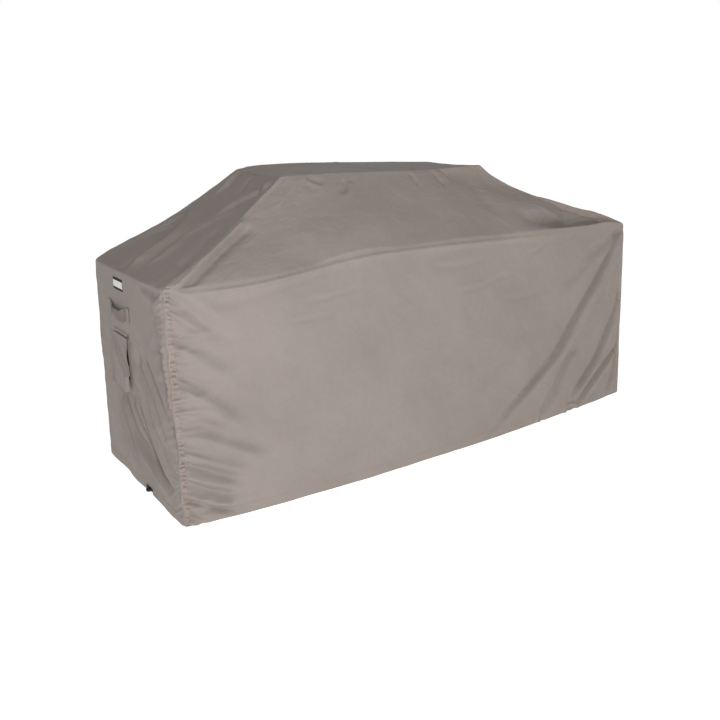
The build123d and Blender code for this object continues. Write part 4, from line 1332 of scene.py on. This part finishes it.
for side in ("left", "right"):
    low, high = box_mm(f"{side}_vent_mesh")
    y = np.linspace(high[1], low[1], 32)[None]
    z = np.linspace(low[2], high[2], 38)[:, None]
    belly = -2.6 - 0.8 * np.sin(math.pi * np.linspace(0, 1, 32))[None]
    net = grid_mesh(f"{side}_vent_net", end_grid(side, y, z, belly), NET)
    sew_on(net, f"{side}_vent_mesh", "vent_mesh")
    flat_size(low, high)
    ring = rectangle_ring((HOLE_Y[0], HOLE_Z[0]), (HOLE_Y[1], HOLE_Z[1]),
                          EDGE_TAPE_ACROSS, EDGE_TAPE_OFF, side)
    binding = grid_mesh(f"{side}_vent_edge_tape", ring, TAPE, wrap=(False, True))
    sew_on(binding, f"{side}_vent_binding", "seam_tape")

# %% Header and hood
FLAP_LOW, FLAP_HIGH = box_mm("left_vent_flap")
FLAP_HALF = (FLAP_HIGH[1] - FLAP_LOW[1]) / 2
FLAP_DROP = FLAP_HIGH[2] - FLAP_LOW[2]
HINGE = {j["name"]: np.array(j["pos_m"]) / MM for j in frame["joints"] if "pos_m" in j}


def hood_shape(s, t):
    """How far the hood hangs off the wall at a share s to the rear and t down."""
    crease = 1 - np.minimum(1, t / 0.7) ** 1.15      # where the crease is at this height
    behind = smooth_step((s - crease) / 0.09 + 0.3)
    grown = smooth_step(t * 2.6)
    gape = grown * (1 - smooth_step((t - 0.3) / 0.3))
    front = 2.6 + 5.5 * gape * np.clip(1 - s / np.maximum(crease, 0.05), 0, 1)
    rear = 3.2 + grown * (14 - 8.5 * np.clip((s - crease) / np.maximum(1 - crease, 0.3), 0, 1))
    edge_near = np.minimum(np.minimum(s, 1 - s) * 2 * FLAP_HALF, (1 - t) * FLAP_DROP)
    turned = 0.9 * (1 - smooth_step((edge_near - 8) / 2))
    return front + (rear - front) * behind + turned


def hung_grid(side, y, z, hang):
    """A grid that hangs off the straight end wall, faces outwards on both ends."""
    sign = -1 if side == "left" else 1
    wall_x = sign * (HEM_X[1] - (HEM_X[1] - EAVE_X) * z / EAVE_Z)
    grid = np.stack(np.broadcast_arrays(wall_x + sign * hang, y, z), axis=2)
    return grid[:, ::-1] if side == "left" else grid


for side in ("left", "right"):
    low, high = box_mm(f"{side}_vent_header")
    y = np.linspace(high[1], low[1], 45)[None]
    z = np.linspace(low[2], high[2], 9)[:, None]
    fill = np.array([0.2, 3.0, 4.2, 4.5, 4.2, 3.4, 2.2, 1.0, 0.0])[:, None]
    header = grid_mesh(f"{side}_vent_hood_seam",
                       end_grid(side, y, z, fill + 0.35 * np.sin(y / 6)), TAPE)
    sew_on(header, f"{side}_vent_header", "coated_cloth")
    flat_size(low, high)[0]
    share = np.linspace(0, 1, 53)[None]          # 0 at the front edge, 1 at the rear
    down = np.linspace(1, 0, 71)[:, None]
    hinge = HINGE[f"{side}_flap_lift"]
    hang = hood_shape(share, down)
    corner_cut = 9.0 * np.exp(-((1 - down) * FLAP_DROP / 8) ** 2) * (
        np.exp(-(share * 2 * FLAP_HALF / 8) ** 2) + np.exp(-((1 - share) * 2 * FLAP_HALF / 8) ** 2))
    y = hinge[1] - FLAP_HALF + 2 * FLAP_HALF * share
    z = hinge[2] - 1.0 - (FLAP_DROP - 0.5) * down + corner_cut * 0.45
    hood = grid_mesh(f"{side}_vent_hood", hung_grid(side, y, z, hang), CLOTH)
    sew_on(hood, f"{side}_vent_flap", "coated_cloth", f"{side}_flap")
    thicken(hood, 1.3)

# %% Hook and loop tape
for side in ("left", "right"):
    for node, material, slot_name, body in (
            (f"{side}_vent_hook_tab", HOOK, "hook_tape", f"{side}_flap"),
            (f"{side}_vent_loop_tab", LOOP, "loop_tape", "cover")):
        low, high = box_mm(node)
        y = np.linspace(low[1], high[1], 24)[None]
        z = np.linspace(low[2], high[2], 9)[:, None]
        if body == "cover":
            grid = end_grid(side, y[:, ::-1], z, 0.35)
        else:
            hinge = HINGE[f"{side}_flap_lift"]
            share = (y - (hinge[1] - FLAP_HALF)) / (2 * FLAP_HALF)
            down = (hinge[2] - 1.0 - z) / (FLAP_DROP - 0.5)
            grid = hung_grid(side, y, z, hood_shape(share, down) - 1.5)
        tab = grid_mesh(node.replace("vent_", ""), grid, material)
        sew_on(tab, node, slot_name, body)
        thicken(tab, 0.9)


# %% [markdown]
# ## The label
# A small woven satin label, sewn on at its ends.  It is plain: white with a black
# bar along its upper and lower edge.  The bars are part of the weave, so they are
# drawn by the material from the label's flat coordinates.

# %% Label
BAR_WIDTH, BAR_EDGE = 0.0080, 0.0004    # metres of black bar, and its soft edge


def label_material(height):
    """Woven satin: white ground, a black bar along both long edges, fine ribs."""
    material, tree, shader = new_material("Woven satin label, white and black")
    uv = add(tree, "ShaderNodeUVMap", {"uv_map": "cloth"}).outputs[0]
    up = add(tree, "ShaderNodeSeparateXYZ", Vector=uv).outputs[1]
    middle = add(tree, "ShaderNodeMath", {"operation": "SUBTRACT"}, Value_0=up, Value_1=height / 2)
    away = add(tree, "ShaderNodeMath", {"operation": "ABSOLUTE"}, Value_0=middle.outputs[0])
    bar = add(tree, "ShaderNodeMapRange", Value=away.outputs[0], From_Min=height / 2 - BAR_WIDTH,
              From_Max=height / 2 - (BAR_WIDTH - BAR_EDGE))
    mix = add(tree, "ShaderNodeMix", {"data_type": "RGBA"}, _0=bar.outputs[0],
              _6=colour("#FBFAF8"), _7=colour("#111011"))
    ribs = add(tree, "ShaderNodeTexWave", {"bands_direction": "Y"}, Vector=uv,
               Scale=2 * math.pi / (20 * 0.0008))
    bump = add(tree, "ShaderNodeBump", Strength=0.25, Distance=0.0002, Height=ribs.outputs[1])
    tree.links.new(mix.outputs[2], shader.inputs["Base Color"])
    tree.links.new(bump.outputs[0], shader.inputs["Normal"])
    shader.inputs["Roughness"].default_value = 0.55
    shader.inputs["Specular IOR Level"].default_value = 0.25
    return material


low, high = box_mm("label")
y = np.linspace(high[1], low[1], 41)[None]
z = np.linspace(low[2], high[2], 19)[:, None]
curl = 0.7 + 0.9 * np.sin(y / 9 + 0.4) ** 2 * np.sin(math.pi * (z - low[2]) / (high[2] - low[2]))
label = grid_mesh("woven_label", end_grid("left", y, z, curl),
                  label_material(float(high[2] - low[2]) * MM))
sew_on(label, "label", "label_cloth")
thicken(label, 0.5)
flat_size(low, high)


# %% [markdown]
# ## The cord lock
# The lock is moulded plastic with a steel spring in it, and its shape is right in
# the frame already, so only its finish changes.  Moulded acetal is smooth and a
# little waxy, with a fine grain from the tool.

# %% Plastic and spring finishes
def moulded_material():
    """Moulded acetal: near black, waxy gloss, a fine even grain and faint scuffs."""
    material, tree, shader = new_material("Moulded acetal, black")
    place = add(tree, "ShaderNodeTexCoord").outputs["Object"]
    grain = add(tree, "ShaderNodeTexNoise", Vector=place, Scale=2600.0, Detail=2.0)
    scuff = add(tree, "ShaderNodeTexNoise", Vector=place, Scale=260.0, Detail=5.0, Roughness=0.7)
    rough = add(tree, "ShaderNodeMapRange", Value=scuff.outputs[0], From_Min=0.35, From_Max=0.75,
                To_Min=0.32, To_Max=0.55)
    mix = add(tree, "ShaderNodeMix", {"data_type": "RGBA"}, _0=scuff.outputs[0],
              _6=colour("#151416"), _7=colour("#2A282B"))
    bump = add(tree, "ShaderNodeBump", Strength=0.15, Distance=0.0001, Height=grain.outputs[0])
    tree.links.new(mix.outputs[2], shader.inputs["Base Color"])
    tree.links.new(rough.outputs[0], shader.inputs["Roughness"])
    tree.links.new(bump.outputs[0], shader.inputs["Normal"])
    shader.inputs["IOR"].default_value = 1.48
    return material


def spring_material():
    """Drawn stainless spring wire: bright, with fine lines along the wire."""
    material, tree, shader = new_material("Drawn stainless steel wire")
    place = add(tree, "ShaderNodeTexCoord").outputs["Object"]
    lines = add(tree, "ShaderNodeTexNoise", Vector=place, Scale=1800.0, Detail=3.0)
    rough = add(tree, "ShaderNodeMapRange", Value=lines.outputs[0], To_Min=0.22, To_Max=0.42)
    tree.links.new(rough.outputs[0], shader.inputs["Roughness"])
    shader.inputs["Base Color"].default_value = colour("#B9B7B3")
    shader.inputs["Metallic"].default_value = 1.0
    return material


def refinish(node, material):
    """Gives a frame piece a new material in all its slots."""
    slots = frame["nodes"][node].material_slots
    for place in slots:
        place.material = material
    if not len(slots):
        frame["nodes"][node].data.materials.append(material)


ACETAL = moulded_material()
for node in ("cord_lock_barrel", "cord_lock_button", "upper_cord_end", "lower_cord_end"):
    refinish(node, ACETAL)

# %% The lock's spring
# In the real lock it is squeezed along its axis against the barrel's end wall as the button goes
# in; here it is a coil of one fixed length.
SPRING_WIRE, SPRING_TURNS, BUTTON_TRAVEL = 0.6, 3, 3.0
low, high = box_mm("cord_lock_spring")
coil_radius = (high[1] - low[1] - SPRING_WIRE) / 2
turn = np.linspace(0, 2 * math.pi * SPRING_TURNS, 32 * SPRING_TURNS + 1)
out = np.stack([0 * turn, np.cos(turn), np.sin(turn)], axis=1)
along = np.linspace(low[0] + SPRING_WIRE / 2, high[0] - SPRING_WIRE / 2, len(turn))
coil = np.array([0, *(low + high)[1:] / 2]) + coil_radius * out + along[:, None] * [1, 0, 0]
round_wire = -np.linspace(0, 2 * math.pi, 8, endpoint=False)[None, :, None]
wire = coil[:, None] + SPRING_WIRE / 2 * (np.cos(round_wire) * out[:, None]
                                          + np.sin(round_wire) * [1, 0, 0])
r, c = np.arange(len(turn) - 1)[:, None] * 8, np.arange(8)[None]
c1 = (c + 1) % 8
quads = np.stack([r + c, r + c1, r + 8 + c1, r + 8 + c], axis=-1).reshape(-1, 4)
cap = np.array([[0, 1, 2, 3], [0, 3, 4, 7], [4, 5, 6, 7]])
quads = np.concatenate([quads, cap[:, ::-1], cap + 8 * (len(turn) - 1)])
spring = mesh_object("lock_spring", wire.reshape(-1, 3) * MM, quads, spring_material())
sew_on(spring, "cord_lock_spring", "spring_steel")
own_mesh(spring)
print("spring", np.round(high[0] - low[0], 2), "mm long, coil radius", np.round(coil_radius, 2))


# %% [markdown]
# ## Floor, light and camera
# The cover stands on a plain pale floor in a plain pale room.  A soft box stands in
# front of its left half, so the long wall is brightest there, the slopes are a
# shade darker, and the top and the left end are darker still.  Floor and room glow
# by themselves, and look whiter to the lens than the light they give the cloth.

# %% Floor
FLOOR_GLOW, FLOOR_SHINE = 0.46, 0.80    # light it gives the cloth, and the lens
FLOOR_HALF = 14000                      # mm


def floor_material():
    """Matte white studio floor, very slightly uneven."""
    material, tree, shader = new_material("Matte white studio floor")
    place = add(tree, "ShaderNodeTexCoord").outputs["Object"]
    cloudy = add(tree, "ShaderNodeTexNoise", Vector=place, Scale=1.5, Detail=2.0)
    mix = add(tree, "ShaderNodeMix", {"data_type": "RGBA"}, _0=cloudy.outputs[0],
              _6=colour("#F4F4F4"), _7=colour("#F8F8F8"))
    tree.links.new(mix.outputs[2], shader.inputs["Base Color"])
    shader.inputs["Roughness"].default_value = 0.9
    shader.inputs["Specular IOR Level"].default_value = 0.1
    shader.inputs["Emission Color"].default_value = (1, 1, 1, 1)
    seen = add(tree, "ShaderNodeLightPath").outputs["Is Camera Ray"]
    glow = add(tree, "ShaderNodeMix", {"data_type": "FLOAT"}, _0=seen, _2=FLOOR_GLOW,
               _3=FLOOR_SHINE)
    tree.links.new(glow.outputs[0], shader.inputs["Emission Strength"])
    return material


side = np.linspace(-FLOOR_HALF, FLOOR_HALF, 5)
floor = grid_mesh("studio_floor", np.stack([*np.meshgrid(side, side), np.zeros((5, 5))], axis=2),
                  floor_material())

# %% Light
SKY = 0.295                     # strength of the room's own light on the cloth
world = bpy.data.worlds.new("Pale room")
bpy.context.scene.world = world
world.use_nodes = True
tree = world.node_tree
tree.nodes.clear()
way = add(tree, "ShaderNodeTexCoord").outputs["Generated"]
toward = add(tree, "ShaderNodeVectorMath", {"operation": "DOT_PRODUCT"}, _0=way,
             _1=(0.6, -0.8, 0.0))
level = add(tree, "ShaderNodeMapRange", Value=toward.outputs["Value"], From_Min=-1.0, From_Max=1.0,
            To_Min=SKY * 0.75, To_Max=SKY * 1.25)
seen = add(tree, "ShaderNodeLightPath").outputs["Is Camera Ray"]
strength = add(tree, "ShaderNodeMix", {"data_type": "FLOAT"}, _0=seen, _2=level.outputs[0], _3=1.0)
tint = add(tree, "ShaderNodeMix", {"data_type": "RGBA"}, _0=seen,
           _6=colour("#FFFAF6"), _7=colour("#FFFFFF"))
sky = add(tree, "ShaderNodeBackground", Color=tint.outputs[2], Strength=strength.outputs[0])
add(tree, "ShaderNodeOutputWorld", Surface=sky.outputs[0])


def soft_light(name, place, aim, size, watts):
    """A square soft box at a place in metres, facing a point."""
    data = bpy.data.lights.new(name, "AREA")
    data.shape, data.size, data.size_y, data.energy = "RECTANGLE", size[0], size[1], watts
    lamp = bpy.data.objects.new(name, data)
    bpy.context.scene.collection.objects.link(lamp)
    back = np.array(place, float) - np.array(aim, float)
    back /= np.linalg.norm(back)
    right = np.cross((0, 0, 1.0), back)
    right /= np.linalg.norm(right)
    stand = np.stack([right, np.cross(back, right), back, place], axis=1)
    lamp.matrix_world = Matrix([*stand.tolist(), [0, 0, 0, 1]])


soft_light("Front soft box", (-1.95, -3.72, 1.68), (-0.35, -0.3, 0.45), (0.6, 0.6), 75)

# %% Camera
YAW, PITCH, ROLL = 0.6067, 0.3064, -0.0100      # radians: to the right, down, tilt
CAMERA_PLACE = (-1.7086, -2.2759, 1.1469)       # metres
LENS, SENSOR = 38.34, 36.0                      # mm
ahead = np.array([math.sin(YAW) * math.cos(PITCH), math.cos(YAW) * math.cos(PITCH),
                  -math.sin(PITCH)])
right = np.array([math.cos(YAW), -math.sin(YAW), 0.0])
above = np.cross(right, ahead)
axes = [math.cos(ROLL) * right + math.sin(ROLL) * above,
        math.cos(ROLL) * above - math.sin(ROLL) * right, -ahead]
camera = bpy.data.objects.new("Camera", bpy.data.cameras.new("Camera"))
bpy.context.scene.collection.objects.link(camera)
axes = np.stack([*axes, CAMERA_PLACE], axis=1)
camera.matrix_world = Matrix([*axes.tolist(), [0, 0, 0, 1]])
camera.data.lens, camera.data.sensor_width = LENS, SENSOR
bpy.context.scene.camera = camera
bpy.context.scene.view_settings.view_transform = "Standard"
